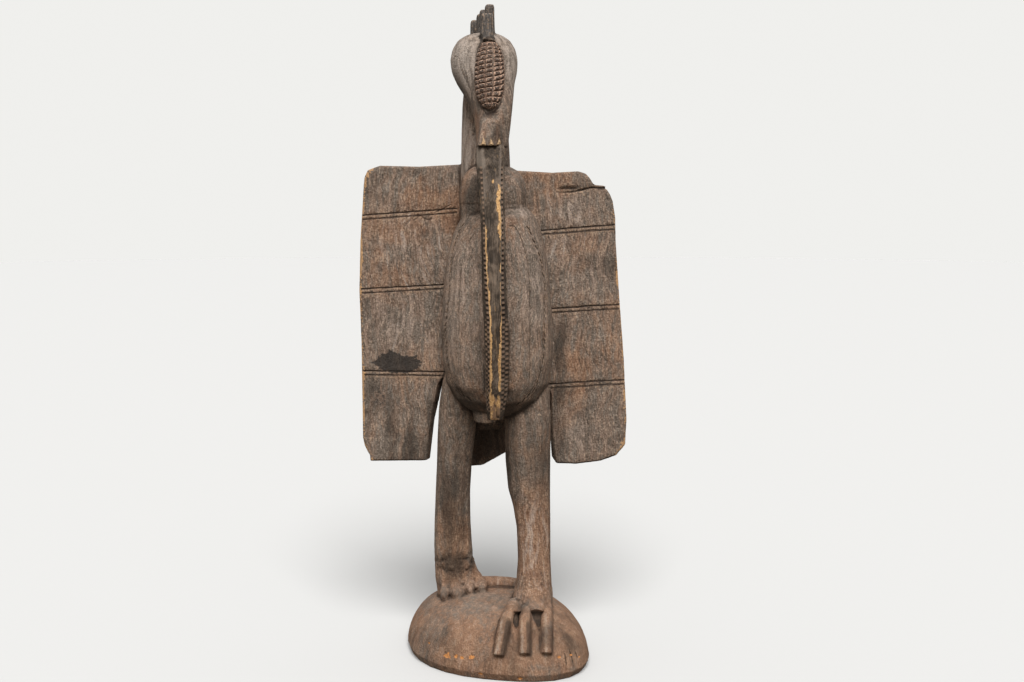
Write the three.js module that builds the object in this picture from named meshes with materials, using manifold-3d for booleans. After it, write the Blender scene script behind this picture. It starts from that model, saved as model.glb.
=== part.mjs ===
// A standing hornbill, carved from one log together with the domed plinth under its feet.
// Millimetres, +Z up, origin in the middle of the flat underside.
// The bird looks along -Y and +X is the viewer's right.
import * as THREE from "three";
import { mergeVertices } from "three/addons/utils/BufferGeometryUtils.js";
import Module from "manifold-3d";

const wasm = await Module();
wasm.setup();

// Driving dimensions
const figureHeight = 2025; // floor to the top of the crest
const plinthWidth = 584;
const plinthDepth = 540;
const plinthHeight = 197;
const plinthLip = 12; // how far the bottom edge is rounded in
const wingThickness = 44;
const wingFront = 52; // front face of both wing boards
const wingGrooveWidth = 5;
const wingGrooveGap = 13; // between the two lines of a pair
const wingGrooveDepth = 5;
const tailThickness = 42;
const crestThickness = 33;
const crestToothDepth = 38;
const crestTeeth = 5;
const casqueWidth = 88;
const casqueRelief = 27; // how far the casque stands off the face
const casqueGroove = 6; // width of a saw cut
const casqueCutDepth = 6;
const casqueColumns = 5;
const casqueRows = 13;
const casqueSpread = 2.9; // turn of the skin that the kernels cover, in radians
const casqueRowSlant = 0.05;
const beakToothPitch = 16;
const beakToothDepth = 8;
const toeWidth = 42;
const toeHeight = 44;
const toeSink = 0.18; // how far a toe's middle lies above the dome, as a share of its height
const braidPitch = 31;
const braidCutLength = 30;
const braidCutWidth = 6;
const braidCutDepth = 5;
const braidSlant = 0.42;

// The free form of the bird is written for a bird 2025 mm tall and follows figureHeight
const share = figureHeight / 2025;

// Joining and cutting

function toManifold(geometry) {
  const bare = geometry.clone();
  bare.deleteAttribute("normal");
  bare.deleteAttribute("uv");
  const merged = mergeVertices(bare, 1e-3);
  return new wasm.Manifold(
    new wasm.Mesh({
      numProp: 3,
      vertProperties: new Float32Array(merged.attributes.position.array),
      triVerts: new Uint32Array(merged.index.array),
    }),
  );
}

function toGeometry(solid) {
  const mesh = solid.getMesh();
  const geometry = new THREE.BufferGeometry();
  geometry.setAttribute("position", new THREE.BufferAttribute(mesh.vertProperties, 3));
  geometry.setIndex(new THREE.BufferAttribute(mesh.triVerts, 1));
  geometry.computeVertexNormals();
  return geometry;
}

const joined = (solids) => solids.reduce((whole, solid) => whole.add(solid));

// How much a unit circle is overrun by a squarish oval at an angle, as a divisor
function ovalReach(angle, squareness) {
  const sum = Math.abs(Math.cos(angle)) ** squareness + Math.abs(Math.sin(angle)) ** squareness;
  return sum ** (1 / squareness);
}

// Forms that are described by level sections

// One section: height, centre, half sizes, squareness, narrowing to the front and turn about Z
function section(z, x, y, wide, deep, square = 2, narrow = 0, turn = 0) {
  return { z, x, y, wide, deep, square, narrow, turn };
}

function smoothField(sections, names) {
  const points = sections.map((s) => new THREE.Vector3(...names.map((name) => s[name])));
  return new THREE.CatmullRomCurve3(points, false, "catmullrom", 0.5);
}

// A form knows its section at any share t of its stations, and a point on its skin
function makeForm(sections) {
  const middle = smoothField(sections, ["x", "y", "z"]);
  const half = smoothField(sections, ["wide", "deep", "square"]);
  const shape = smoothField(sections, ["narrow", "turn", "z"]);
  const skin = (t, angle, inset = 0) => {
    const c = middle.getPoint(t);
    const h = half.getPoint(t);
    const s = shape.getPoint(t);
    const wide = Math.max(h.x - inset, 0.5);
    const deep = Math.max(h.y - inset, 0.5);
    const reach =
      (Math.abs(Math.cos(angle) / wide) ** h.z + Math.abs(Math.sin(angle) / deep) ** h.z) ** (-1 / h.z);
    const offset = new THREE.Vector3(Math.cos(angle) * reach, Math.sin(angle) * reach, 0);
    offset.x *= 1 + (s.x * offset.y) / deep;
    offset.applyAxisAngle(new THREE.Vector3(0, 0, 1), THREE.MathUtils.degToRad(s.y));
    return c.add(offset).multiplyScalar(share);
  };
  return { middle, half, skin };
}

// Wraps a closed cylinder onto a form
function formSolid(form, sides, rings, inset = 0) {
  const geometry = new THREE.CylinderGeometry(1, 1, 1, sides, rings, false).rotateX(Math.PI / 2);
  const position = geometry.attributes.position;
  for (let i = 0; i < position.count; i += 1) {
    const x = position.getX(i);
    const y = position.getY(i);
    const t = THREE.MathUtils.clamp(position.getZ(i) + 0.5, 0, 1);
    const isCentre = Math.hypot(x, y) < 0.5;
    const point = isCentre
      ? form.middle.getPoint(t).multiplyScalar(share)
      : form.skin(t, Math.atan2(y, x), inset);
    position.setXYZ(i, point.x, point.y, point.z);
  }
  return toManifold(geometry);
}

// A limb follows a path, with half widths and half heights that follow lists of values
function makeLimb(points, halfWidths, halfHeights) {
  const path = new THREE.CatmullRomCurve3(points, false, "catmullrom", 0.5);
  const sizes = halfWidths.map((w, i) => new THREE.Vector3(w, halfHeights[i], 0));
  const size = new THREE.CatmullRomCurve3(sizes, false, "catmullrom", 0.5);
  const frame = (t) => {
    const along = path.getTangent(t);
    const side = new THREE.Vector3().crossVectors(new THREE.Vector3(0, 0, 1), along).normalize();
    const lift = new THREE.Vector3().crossVectors(along, side);
    return { along, side, lift };
  };
  const skin = (t, across, upward) => {
    const { side, lift } = frame(t);
    const half = size.getPoint(t);
    return path.getPoint(t).addScaledVector(side, across * half.x).addScaledVector(lift, upward * half.y);
  };
  return { frame, skin };
}

function limbSolid(limb, sides, rings) {
  const geometry = new THREE.CylinderGeometry(1, 1, 1, sides, rings, false).rotateX(Math.PI / 2);
  const position = geometry.attributes.position;
  for (let i = 0; i < position.count; i += 1) {
    const t = THREE.MathUtils.clamp(position.getZ(i) + 0.5, 0, 1);
    const point = limb.skin(t, position.getX(i), position.getY(i));
    position.setXYZ(i, point.x, point.y, point.z);
  }
  return toManifold(geometry);
}

// Small solids are long along Y with their outward side along Z, and are turned into their place
function placedSolid(geometry, at, outward, along) {
  const z = outward.clone().normalize();
  const y = along.clone().addScaledVector(z, -along.dot(z)).normalize();
  const x = new THREE.Vector3().crossVectors(y, z);
  return toManifold(geometry.applyMatrix4(new THREE.Matrix4().makeBasis(x, y, z).setPosition(at)));
}

function sawCut(width, length, depth, at, outward, along) {
  return placedSolid(new THREE.BoxGeometry(width, length, depth), at, outward, along);
}

// A knife cut with a V section: its width and depth are those at the skin
function knifeCut(width, length, depth, at, outward, along) {
  const section = new THREE.Shape([
    new THREE.Vector2(0, -depth),
    new THREE.Vector2(width, depth),
    new THREE.Vector2(-width, depth),
  ]);
  const prism = new THREE.ExtrudeGeometry(section, { depth: length, bevelEnabled: false });
  prism.translate(0, 0, -length / 2).rotateX(Math.PI / 2);
  return placedSolid(prism, at, outward, along);
}

// Plinth

// The plan is a squarish oval that leans: its left end lies further back than its right end
const plinthLean = 0.24;
const plinthSquareness = 2.5;
const plinthRoundness = 2.6;
const plinthHalfDepth = Math.sqrt((plinthDepth / 2) ** 2 - (plinthLean * plinthWidth * 0.5) ** 2);

function plinthShareAt(x, y) {
  const wide = Math.abs(x / (plinthWidth / 2)) ** plinthSquareness;
  const deep = Math.abs((y + plinthLean * x) / plinthHalfDepth) ** plinthSquareness;
  return (wide + deep) ** (1 / plinthSquareness);
}

function plinthTopAt(x, y) {
  const reach = Math.min(plinthShareAt(x, y), 1);
  return plinthHeight * Math.sqrt(1 - reach ** plinthRoundness);
}

function makePlinth() {
  const rings = 10;
  const firstRise = 0.12;
  const lastRise = 1.46;
  const geometry = new THREE.CylinderGeometry(1, 1, 1, 32, rings, false).rotateX(Math.PI / 2);
  const position = geometry.attributes.position;
  for (let i = 0; i < position.count; i += 1) {
    const ring = Math.round((position.getZ(i) + 0.5) * rings);
    const angle = Math.atan2(position.getY(i), position.getX(i));
    const rim = Math.hypot(position.getX(i), position.getY(i)) / ovalReach(angle, plinthSquareness);
    const rise = THREE.MathUtils.lerp(firstRise, lastRise, Math.max(ring - 1, 0) / (rings - 1));
    const height = ring === 0 ? 0 : plinthHeight * Math.sin(rise);
    const lip = ring === 0 ? 1 - (2 * plinthLip) / plinthWidth : 1;
    const reach = rim * lip * Math.max(Math.cos(rise), 0.02) ** (2 / plinthRoundness);
    const x = Math.cos(angle) * reach * (plinthWidth / 2);
    const y = Math.sin(angle) * reach * plinthHalfDepth - plinthLean * x;
    position.setXYZ(i, x, y, height);
  }
  return toManifold(geometry);
}

// Legs and feet

const rightLegForm = makeForm([
  section(110, 109, -70, 58, 50, 2.3),
  section(165, 109, -73, 60, 56, 2.3),
  section(186, 110, -80, 66, 73, 2.4),
  section(225, 114, -74, 60, 62, 2.4),
  section(300, 117, -62, 53, 56, 2.4),
  section(420, 115, -52, 54, 58, 2.4),
  section(500, 108, -46, 61, 64, 2.3),
  section(570, 99, -38, 71, 74, 2.2),
  section(700, 98, -28, 73, 86, 2.2),
  section(850, 96, -15, 75, 96, 2.2),
  section(930, 92, -5, 60, 80, 2.2),
]);

const leftLegForm = makeForm([
  section(110, -120, 66, 66, 66, 2.3),
  section(200, -116, 66, 80, 72, 2.3),
  section(232, -127, 66, 73, 66, 2.3),
  section(285, -136, 64, 66, 62, 2.3),
  section(350, -140, 60, 62, 60, 2.4),
  section(480, -140, 54, 57, 60, 2.4),
  section(610, -134, 48, 57, 66, 2.3),
  section(720, -125, 42, 62, 76, 2.2),
  section(850, -113, 30, 63, 86, 2.2),
  section(930, -100, 20, 50, 76, 2.2),
]);

// A toe lies on the dome from its root to its tip, along a straight line of the plan.
// Its root may stand higher than the rest by rootRise, and its tip is blunt or drawn in to tipShare.
function toeSolid(root, tip, width, height, rootRise = 0, tipShare = 0.92) {
  const points = [0, 0.25, 0.5, 0.75, 1].map((t) => {
    const x = THREE.MathUtils.lerp(root.x, tip.x, t);
    const y = THREE.MathUtils.lerp(root.y, tip.y, t);
    return new THREE.Vector3(x, y, plinthTopAt(x, y) + height * toeSink + rootRise * (1 - t));
  });
  const halfWidths = [0.4, 0.46, 0.5, 0.5, tipShare * 0.5].map((s) => s * width);
  const halfHeights = [0.4, 0.46, 0.5, 0.5, tipShare * 0.5].map((s) => s * height);
  return limbSolid(makeLimb(points, halfWidths, halfHeights), 8, 4);
}

// The shin of the front foot overhangs its toes: a hollow runs in under it between each two of them
const shinHollows = [
  [
    [50, 138],
    [36, 180],
    [44, 195],
    [86, 199],
    [76, 160],
  ],
  [
    [94, 200],
    [150, 191],
    [122, 134],
  ],
];

function shinHollowCuts() {
  const front = -240 * share;
  const back = -108 * share;
  const cuts = shinHollows.map((outline) => {
    const shape = new THREE.Shape(outline.map(([x, z]) => new THREE.Vector2(x * share, z * share)));
    const prism = new THREE.ExtrudeGeometry(shape, { depth: back - front, bevelEnabled: false });
    return toManifold(prism.rotateX(Math.PI / 2).translate(0, back, 0));
  });
  return joined(cuts);
}

function makeFeet() {
  const plan = (x, y) => new THREE.Vector2(x * share, y * share);
  const frontFoot = [
    toeSolid(plan(52, -108), plan(-3, -247), toeWidth, toeHeight),
    toeSolid(plan(88, -104), plan(74, -259), toeWidth, toeHeight, -8),
    toeSolid(plan(156, -100), plan(140, -259), toeWidth, toeHeight),
  ];
  const backFoot = [
    toeSolid(plan(-158, 60), plan(-171, -20), toeWidth * 0.85, toeHeight * 1.1, 34, 0.5),
    toeSolid(plan(-128, 60), plan(-128, -34), toeWidth * 1.4, toeHeight * 1.1, 14, 0.3),
    toeSolid(plan(-94, 60), plan(-84, -32), toeWidth * 0.9, toeHeight * 1.15, 30, 0.5),
    toeSolid(plan(-66, 60), plan(-42, -20), toeWidth, toeHeight, 22, 0.4),
    toeSolid(plan(-90, 52), plan(84, 40), toeWidth * 1.05, toeHeight * 0.95, 6),
  ];
  return joined([...frontFoot, ...backFoot]);
}

// Body

const bellyForm = makeForm([
  section(776, 2, -20, 44, 48),
  section(786, 3, -20, 78, 84),
  section(815, 6, -20, 118, 130),
  section(860, 6, -20, 154, 166),
  section(940, 4, -20, 173, 184),
  section(1060, 2, -20, 175, 192),
  section(1200, 2, -20, 164, 182),
  section(1310, 3, -18, 147, 160, 2.1),
  section(1380, 6, -16, 123, 132, 2.2),
  section(1420, 8, -14, 92, 98, 2.3),
  section(1434, 8, -12, 60, 66, 2.3),
]);

const backForm = makeForm([
  section(705, -6, 118, 84, 44, 2.6),
  section(780, -2, 104, 120, 66, 2.5),
  section(950, 0, 92, 148, 80, 2.4),
  section(1200, 0, 88, 142, 74, 2.4),
  section(1400, -8, 82, 112, 62, 2.4),
  section(1500, -20, 74, 92, 54, 2.4),
  section(1553, -30, 66, 76, 44, 2.4),
]);

const collarForm = makeForm([
  section(1370, -10, -20, 100, 86, 2.4),
  section(1440, -11, -26, 104, 92, 2.5),
  section(1490, -10, -26, 101, 88, 2.5),
  section(1526, -11, -22, 86, 74, 2.5),
  section(1546, -12, -16, 56, 50, 2.4),
]);

const neckForm = makeForm([
  section(1480, -30, 56, 80, 76, 2.2),
  section(1560, -30, 54, 77, 72, 2.3),
  section(1660, -32, 50, 73, 68, 2.3),
  section(1740, -28, 42, 74, 66, 2.2),
  section(1800, -30, 30, 66, 60, 2.2),
]);

const strutForm = makeForm([
  section(764, -36, -56, 36, 60, 2.6),
  section(800, -34, -50, 44, 72, 2.6),
  section(840, -32, -46, 44, 72, 2.6),
]);

// A chain of slanting leaf cuts runs down each flank of the belly
function makeBraidCuts() {
  const cuts = [];
  const chain = (side, lowBearing, highBearing) => {
    let t = 0.9;
    while (t > 0.14) {
      const bearing = THREE.MathUtils.lerp(lowBearing, highBearing, THREE.MathUtils.smoothstep(t, 0.6, 0.92));
      const angle = THREE.MathUtils.degToRad(side > 0 ? -bearing : bearing - 180);
      const at = bellyForm.skin(t, angle);
      const down = bellyForm.skin(t - 0.01, angle).sub(at);
      const across = bellyForm.skin(t, angle + 0.02).sub(at);
      const outward = new THREE.Vector3().crossVectors(across, down).negate().normalize();
      const along = down.clone().normalize().addScaledVector(across.normalize(), braidSlant * side);
      cuts.push(knifeCut(braidCutWidth, braidCutLength, braidCutDepth, at, outward, along));
      t -= (braidPitch / down.length()) * 0.01;
    }
  };
  chain(1, 27, 46);
  chain(-1, 26, 22);
  return joined(cuts);
}

function makeBody() {
  return joined([
    formSolid(bellyForm, 30, 12).subtract(makeBraidCuts()),
    formSolid(backForm, 16, 6),
    formSolid(collarForm, 20, 5),
    formSolid(neckForm, 18, 4),
    formSolid(strutForm, 10, 2),
    formSolid(leftLegForm, 14, 12),
  ]);
}

// The front leg with the plinth that it stands on, hollowed between the roots of its toes
function makeStand() {
  return makePlinth().add(formSolid(rightLegForm, 14, 12)).subtract(shinHollowCuts());
}

// Wings and tail

function boardSolid(outline, front, thickness, holes = []) {
  const shape = new THREE.Shape(outline.map(([x, z]) => new THREE.Vector2(x * share, z * share)));
  shape.holes.push(...holes);
  const board = new THREE.ExtrudeGeometry(shape, {
    depth: thickness - 10,
    bevelEnabled: true,
    bevelThickness: 5,
    bevelSize: 5,
    bevelOffset: -5,
    bevelSegments: 1,
  });
  return toManifold(board.rotateX(Math.PI / 2).translate(0, front + thickness - 5, 0));
}

// Seen from the front, with the worn corners and the broken shoulder of the right wing
const leftWingOutline = [
  [-60, 1548],
  [-110, 1556],
  [-240, 1549],
  [-360, 1552],
  [-398, 1538],
  [-408, 1516],
  [-411, 1492],
  [-424, 1321],
  [-430, 1163],
  [-426, 1003],
  [-426, 690],
  [-421, 664],
  [-411, 642],
  [-405, 634],
  [-403, 613],
  [-212, 612],
  [-196, 742],
  [-160, 885],
  [-60, 960],
];
const rightWingOutline = [
  [60, 960],
  [172, 860],
  [174, 738],
  [184, 614],
  [196, 598],
  [262, 595],
  [341, 604],
  [392, 622],
  [421, 656],
  [425, 736],
  [414, 933],
  [395, 1160],
  [383, 1319],
  [381, 1390],
  [372, 1443],
  [362, 1466],
  [352, 1480],
  [326, 1483],
  [308, 1499],
  [299, 1514],
  [286, 1528],
  [262, 1536],
  [180, 1531],
  [60, 1538],
];

// The line pairs of a wing: height at the outer and at the inner end
const leftGrooves = [
  { outer: 1390, inner: 1413 },
  { outer: 1160, inner: 1176 },
  { outer: 901, inner: 895 },
];
const rightGrooves = [
  { outer: 1365, inner: 1342 },
  { outer: 1110, inner: 1093 },
  { outer: 865, inner: 850 },
];

function wingGrooveCuts(grooves, innerX, outerX) {
  const cuts = [];
  for (const groove of grooves) {
    for (const side of [-0.5, 0.5]) {
      const from = new THREE.Vector3(innerX, 0, groove.inner).multiplyScalar(share);
      const to = new THREE.Vector3(outerX, 0, groove.outer).multiplyScalar(share);
      const at = from.clone().lerp(to, 0.5).setY(wingFront);
      at.z += side * wingGrooveGap;
      const forward = new THREE.Vector3(0, -1, 0);
      cuts.push(knifeCut(wingGrooveWidth, from.distanceTo(to), wingGrooveDepth, at, forward, to.sub(from)));
    }
  }
  return joined(cuts);
}

// Below the belly the inner edge of each wing is pared back, the more the further back it is.
// The outline of the paring is that on the front face.
const leftParing = [
  [-100, 570],
  [-228, 570],
  [-214, 700],
  [-198, 800],
  [-186, 860],
  [-166, 890],
  [-100, 890],
];
const rightParing = [
  [100, 570],
  [200, 570],
  [190, 650],
  [183, 738],
  [181, 820],
  [166, 862],
  [100, 862],
];

function wingParing(outline, slant) {
  const shape = new THREE.Shape(outline.map(([x, z]) => new THREE.Vector2(x * share, z * share)));
  const margin = 10;
  const prism = new THREE.ExtrudeGeometry(shape, { depth: wingThickness + 2 * margin, bevelEnabled: false });
  prism.rotateX(Math.PI / 2).translate(0, wingThickness + margin, 0);
  const lean = new THREE.Matrix4().makeShear(0, 0, slant, 0, 0, 0);
  return toManifold(prism.applyMatrix4(lean).translate(0, wingFront, 0));
}

// A splinter juts from the broken shoulder of the right wing
const splinterOutline = [
  [298, 1484],
  [338, 1485],
  [350, 1487],
  [342, 1491],
  [304, 1494],
];

function makeSplinter() {
  const shape = new THREE.Shape(splinterOutline.map(([x, z]) => new THREE.Vector2(x * share, z * share)));
  const depth = wingThickness * 0.6;
  const splinter = new THREE.ExtrudeGeometry(shape, { depth, bevelEnabled: false });
  return toManifold(splinter.rotateX(Math.PI / 2).translate(0, wingFront + depth, 0));
}

function makeWings() {
  const left = boardSolid(leftWingOutline, wingFront, wingThickness)
    .subtract(wingGrooveCuts(leftGrooves, -120, -440))
    .subtract(wingParing(leftParing, 0.4));
  const right = boardSolid(rightWingOutline, wingFront, wingThickness)
    .subtract(wingGrooveCuts(rightGrooves, 120, 440))
    .subtract(wingParing(rightParing, -0.3));
  return joined([left, right, makeSplinter()]);
}

const tailOutline = [
  [-112, 960],
  [-158, 720],
  [-160, 626],
  [-138, 566],
  [-100, 540],
  [-40, 544],
  [36, 588],
  [104, 644],
  [140, 710],
  [112, 960],
];

function makeTail() {
  const tilt = new THREE.Matrix4().makeRotationX(THREE.MathUtils.degToRad(9));
  const hinge = new THREE.Vector3(0, 118, 900).multiplyScalar(share);
  const shape = new THREE.Shape(tailOutline.map(([x, z]) => new THREE.Vector2(x * share, z * share)));
  const board = new THREE.ExtrudeGeometry(shape, { depth: tailThickness, bevelEnabled: false });
  board.rotateX(Math.PI / 2).translate(0, hinge.y + tailThickness, -hinge.z);
  board.applyMatrix4(tilt).translate(0, 0, hinge.z);
  return toManifold(board);
}

// Head, crest, casque and beak

const headTurn = 10;

// The middle plane of the turned head, given a place from front to back
function headMiddle(y) {
  return -35 - y * Math.tan(THREE.MathUtils.degToRad(headTurn));
}

const headForm = makeForm([
  section(1598, -15, -150, 46, 62, 3, 0, headTurn),
  section(1650, -13, -128, 48, 68, 2.8, 0, headTurn),
  section(1700, -14, -98, 55, 80, 2.4, 0, headTurn),
  section(1745, -20, -62, 68, 98, 2.2, 0, headTurn),
  section(1790, -31, -28, 85, 112, 2, 0, headTurn),
  section(1835, -35, -8, 100, 118, 2, 0, headTurn),
  section(1878, -36, 0, 101, 116, 2, 0, headTurn),
  section(1914, -36, 4, 88, 100, 2, 0, headTurn),
  section(1937, -36, 6, 62, 74, 2, 0, headTurn),
  section(1946, -36, 6, 28, 36, 2, 0, headTurn),
]);

const beakBottom = 796;
const beakTop = 1680;
const beakForm = makeForm([
  section(beakBottom, -10, -198, 28, 26, 3.4, 0.1),
  section(862, -8, -214, 32, 37, 3.4, 0.22),
  section(960, -9, -236, 32, 44, 3.4, 0.28),
  section(1080, -10, -248, 34, 47, 3.4, 0.28),
  section(1200, -11, -248, 35, 47, 3.4, 0.28),
  section(1320, -13, -238, 35, 48, 3.4, 0.26),
  section(1443, -17, -214, 36, 48, 3.4, 0.22),
  section(1540, -23, -180, 39, 46, 3.2, 0.16),
  section(1600, -22, -150, 41, 44, 3, 0.1),
  section(beakTop, -20, -110, 36, 38, 2.6, 0.1),
]);

// Corners of the beak's section in degrees, and the share of the tooth depth cut out at each
const beakCorners = [
  { bearing: 0, cut: 0.5 },
  { bearing: 50, cut: 0 },
  { bearing: 130, cut: 0 },
  { bearing: 180, cut: 0.5 },
  { bearing: 217, cut: 1 },
  { bearing: 250, cut: 0 },
  { bearing: 290, cut: 0 },
  { bearing: 323, cut: 1 },
];

// The beak, with both edges cut into teeth: every second ring is a notch
function makeBeak() {
  const length = (beakTop - beakBottom) * share;
  const rings = Math.round(length / beakToothPitch) * 2;
  const sides = beakCorners.length;
  const geometry = new THREE.CylinderGeometry(1, 1, 1, sides, rings, false).rotateX(Math.PI / 2);
  const position = geometry.attributes.position;
  for (let i = 0; i < position.count; i += 1) {
    const ring = Math.round((position.getZ(i) + 0.5) * rings);
    const t = beakForm.middle.getUtoTmapping(ring / rings);
    const isMiddle = Math.hypot(position.getX(i), position.getY(i)) < 0.5;
    const turn = Math.atan2(position.getY(i), position.getX(i)) + 2 * Math.PI;
    const corner = beakCorners[Math.round((turn / (2 * Math.PI)) * sides) % sides];
    const isNotch = ring % 2 === 1 && ring > rings * 0.1 && ring < rings * 0.9;
    const inset = isNotch ? corner.cut * beakToothDepth : 0;
    const angle = THREE.MathUtils.degToRad(corner.bearing);
    const point = isMiddle ? beakForm.middle.getPoint(t).multiplyScalar(share) : beakForm.skin(t, angle, inset);
    position.setXYZ(i, point.x, point.y, point.z);
  }
  return toManifold(geometry);
}

// Sideways shifts of the crest teeth off the middle plane, and their tops, from front to back
const crestShifts = [-8, 8, 2, 3, -6];
const crestTopHeights = [1990, 2025, 2018, 2014, 2004];

function makeCrest() {
  const front = -92;
  const back = 112;
  const teeth = [];
  for (let k = 0; k < crestTeeth; k += 1) {
    const place = crestTeeth > 1 ? k / (crestTeeth - 1) : 0;
    const y = THREE.MathUtils.lerp(front, back, place);
    const top = crestTopHeights[Math.min(k, crestTopHeights.length - 1)];
    const foot = k === 0 ? 1880 : 1905;
    const halfThick = (crestThickness / 2) / share;
    const halfDeep = (crestToothDepth / 2) / share;
    const x = headMiddle(y) + crestShifts[Math.min(k, crestShifts.length - 1)];
    const slim = k === 0 ? 1 : 0.86;
    const tooth = makeForm([
      section(foot, x, y, halfThick * 1.08, halfDeep * 1.15, 4, 0, headTurn),
      section((foot + top) / 2, x, y, halfThick * slim, halfDeep, 4, 0, headTurn),
      section(top - 8, x, y, halfThick * slim * 0.96, halfDeep * 0.94, 4, 0, headTurn),
      section(top, x, y, halfThick * slim * 0.8, halfDeep * 0.8, 4, 0, headTurn),
    ]);
    teeth.push(formSolid(tooth, 8, 3));
  }
  const comb = makeForm([
    section(1890, headMiddle(10), 10, crestThickness * 0.5, 116, 4, 0, headTurn),
    section(1950, headMiddle(10), 10, crestThickness * 0.5, 112, 4, 0, headTurn),
    section(1966, headMiddle(14), 14, crestThickness * 0.42, 104, 4, 0, headTurn),
  ]);
  teeth.push(formSolid(comb, 8, 2));
  return joined(teeth);
}

// The casque is a cob: an oval boss down the face, sawn into rows of square kernels.
// Each kernel takes three steps of the grid: its saw cut, its near edge and its far edge.
function makeCasque() {
  const line = [
    new THREE.Vector3(-25, -168, 1700),
    new THREE.Vector3(-25, -153, 1752),
    new THREE.Vector3(-24, -137, 1805),
    new THREE.Vector3(-23, -121, 1858),
    new THREE.Vector3(-22, -100, 1912),
  ].map((point) => point.multiplyScalar(share));
  // An oval outline: full at the middle, and drawn in to a rounded end at the foot and the head
  const stations = Array.from({ length: 15 }, (_, k) => Math.abs((k / 14) * 2 - 1) * (k > 7 ? 0.94 : 1));
  const halfWidths = stations.map((away) => Math.max((1 - away ** 2.4) ** 0.42 * casqueWidth * 0.5, 9));
  const halfReliefs = stations.map((away) => Math.max((1 - away ** 3.2) ** 0.5, 0.3) * casqueRelief * 1.15);
  const boss = makeLimb(line, halfWidths, halfReliefs);
  const backSides = 3;
  const sides = casqueColumns * 3 + backSides;
  const rings = casqueRows * 3;
  const rowHeight = line[0].distanceTo(line[4]) / casqueRows;
  const columnWidth = (Math.max(...halfWidths) * 2) / casqueColumns;
  const steps = (index, cut) => Math.floor(index / 3) + [0, cut, 1 - cut][index % 3];
  const geometry = new THREE.CylinderGeometry(1, 1, 1, sides, rings, false).rotateX(Math.PI / 2);
  const position = geometry.attributes.position;
  for (let i = 0; i < position.count; i += 1) {
    const ring = Math.round((position.getZ(i) + 0.5) * rings);
    const turn = Math.atan2(position.getY(i), position.getX(i)) + 2 * Math.PI;
    const side = Math.round((turn / (2 * Math.PI)) * sides) % sides;
    const isFront = side <= casqueColumns * 3;
    const column = steps(Math.min(side, casqueColumns * 3), (casqueGroove / columnWidth) * 0.5);
    const frontAngle = Math.PI / 2 + (column / casqueColumns - 0.5) * casqueSpread;
    const backShare = (side - casqueColumns * 3) / backSides;
    const angle = isFront ? frontAngle : Math.PI / 2 + casqueSpread * 0.5 + backShare * (2 * Math.PI - casqueSpread);
    const rowShare = steps(ring, (casqueGroove / rowHeight) * 0.5) / casqueRows;
    const slant = isFront ? (column / casqueColumns - 0.5) * casqueRowSlant * Math.sin(rowShare * Math.PI) : 0;
    const t = THREE.MathUtils.clamp(rowShare + slant, 0, 1);
    const isSawn = ring % 3 === 0 || (isFront && side % 3 === 0);
    const isMiddle = Math.hypot(position.getX(i), position.getY(i)) < 0.5;
    const reach = isMiddle ? 0 : 1 - (isSawn ? casqueCutDepth / (casqueRelief * 1.15) : 0);
    const point = boss.skin(t, Math.cos(angle) * reach, Math.sin(angle) * reach);
    position.setXYZ(i, point.x, point.y, point.z);
  }
  return toManifold(geometry);
}

function makeHead() {
  return joined([
    formSolid(headForm, 22, 11),
    makeBeak(),
    makeCrest(),
    makeCasque(),
  ]);
}

// The whole figure

function makeFigure() {
  return joined([makeStand(), makeFeet(), makeBody(), makeWings(), makeTail(), makeHead()]);
}

const agedWood = new THREE.MeshStandardMaterial({
  name: "aged_wood",
  color: 0x6b594c,
  roughness: 0.85,
  metalness: 0,
});

const figure = new THREE.Mesh(toGeometry(makeFigure()), agedWood);
figure.name = "bird_figure";

const part = new THREE.Group();
part.add(figure);

export default part;
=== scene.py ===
# Carved hornbill on a domed plinth, about two metres tall.
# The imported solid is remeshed, softened, cut with small tools and worn. The long beak and the cob
# are pieces of their own, and everything is coloured by masks.
import math
import random
from itertools import product

import bmesh
import bpy
import numpy as np
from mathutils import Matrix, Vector


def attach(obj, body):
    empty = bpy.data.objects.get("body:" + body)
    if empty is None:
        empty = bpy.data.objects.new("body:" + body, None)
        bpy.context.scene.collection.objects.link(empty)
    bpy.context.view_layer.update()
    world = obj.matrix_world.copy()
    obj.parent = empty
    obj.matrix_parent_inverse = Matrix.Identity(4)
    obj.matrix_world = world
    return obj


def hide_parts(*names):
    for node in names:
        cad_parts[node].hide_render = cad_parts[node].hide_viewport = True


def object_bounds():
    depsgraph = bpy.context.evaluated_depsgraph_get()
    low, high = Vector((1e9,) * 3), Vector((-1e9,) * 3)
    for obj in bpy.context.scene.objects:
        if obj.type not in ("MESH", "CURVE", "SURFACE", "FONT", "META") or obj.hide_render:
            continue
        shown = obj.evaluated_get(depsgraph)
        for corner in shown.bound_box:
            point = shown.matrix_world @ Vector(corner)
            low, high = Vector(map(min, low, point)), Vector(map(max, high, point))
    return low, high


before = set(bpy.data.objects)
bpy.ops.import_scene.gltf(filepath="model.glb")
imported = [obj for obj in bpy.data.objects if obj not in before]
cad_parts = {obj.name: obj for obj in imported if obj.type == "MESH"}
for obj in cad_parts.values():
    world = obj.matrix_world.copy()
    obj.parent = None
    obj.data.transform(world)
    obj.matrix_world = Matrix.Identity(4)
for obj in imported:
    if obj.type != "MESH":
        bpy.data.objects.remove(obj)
cadBox = [list(corner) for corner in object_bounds()]
print("frame loaded")

mm = 0.001


# Small tools that every cut uses


def ramp(value, low, high):
    share = np.clip((value - low) / (high - low), 0, 1)
    return share * share * (3 - 2 * share)


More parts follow.
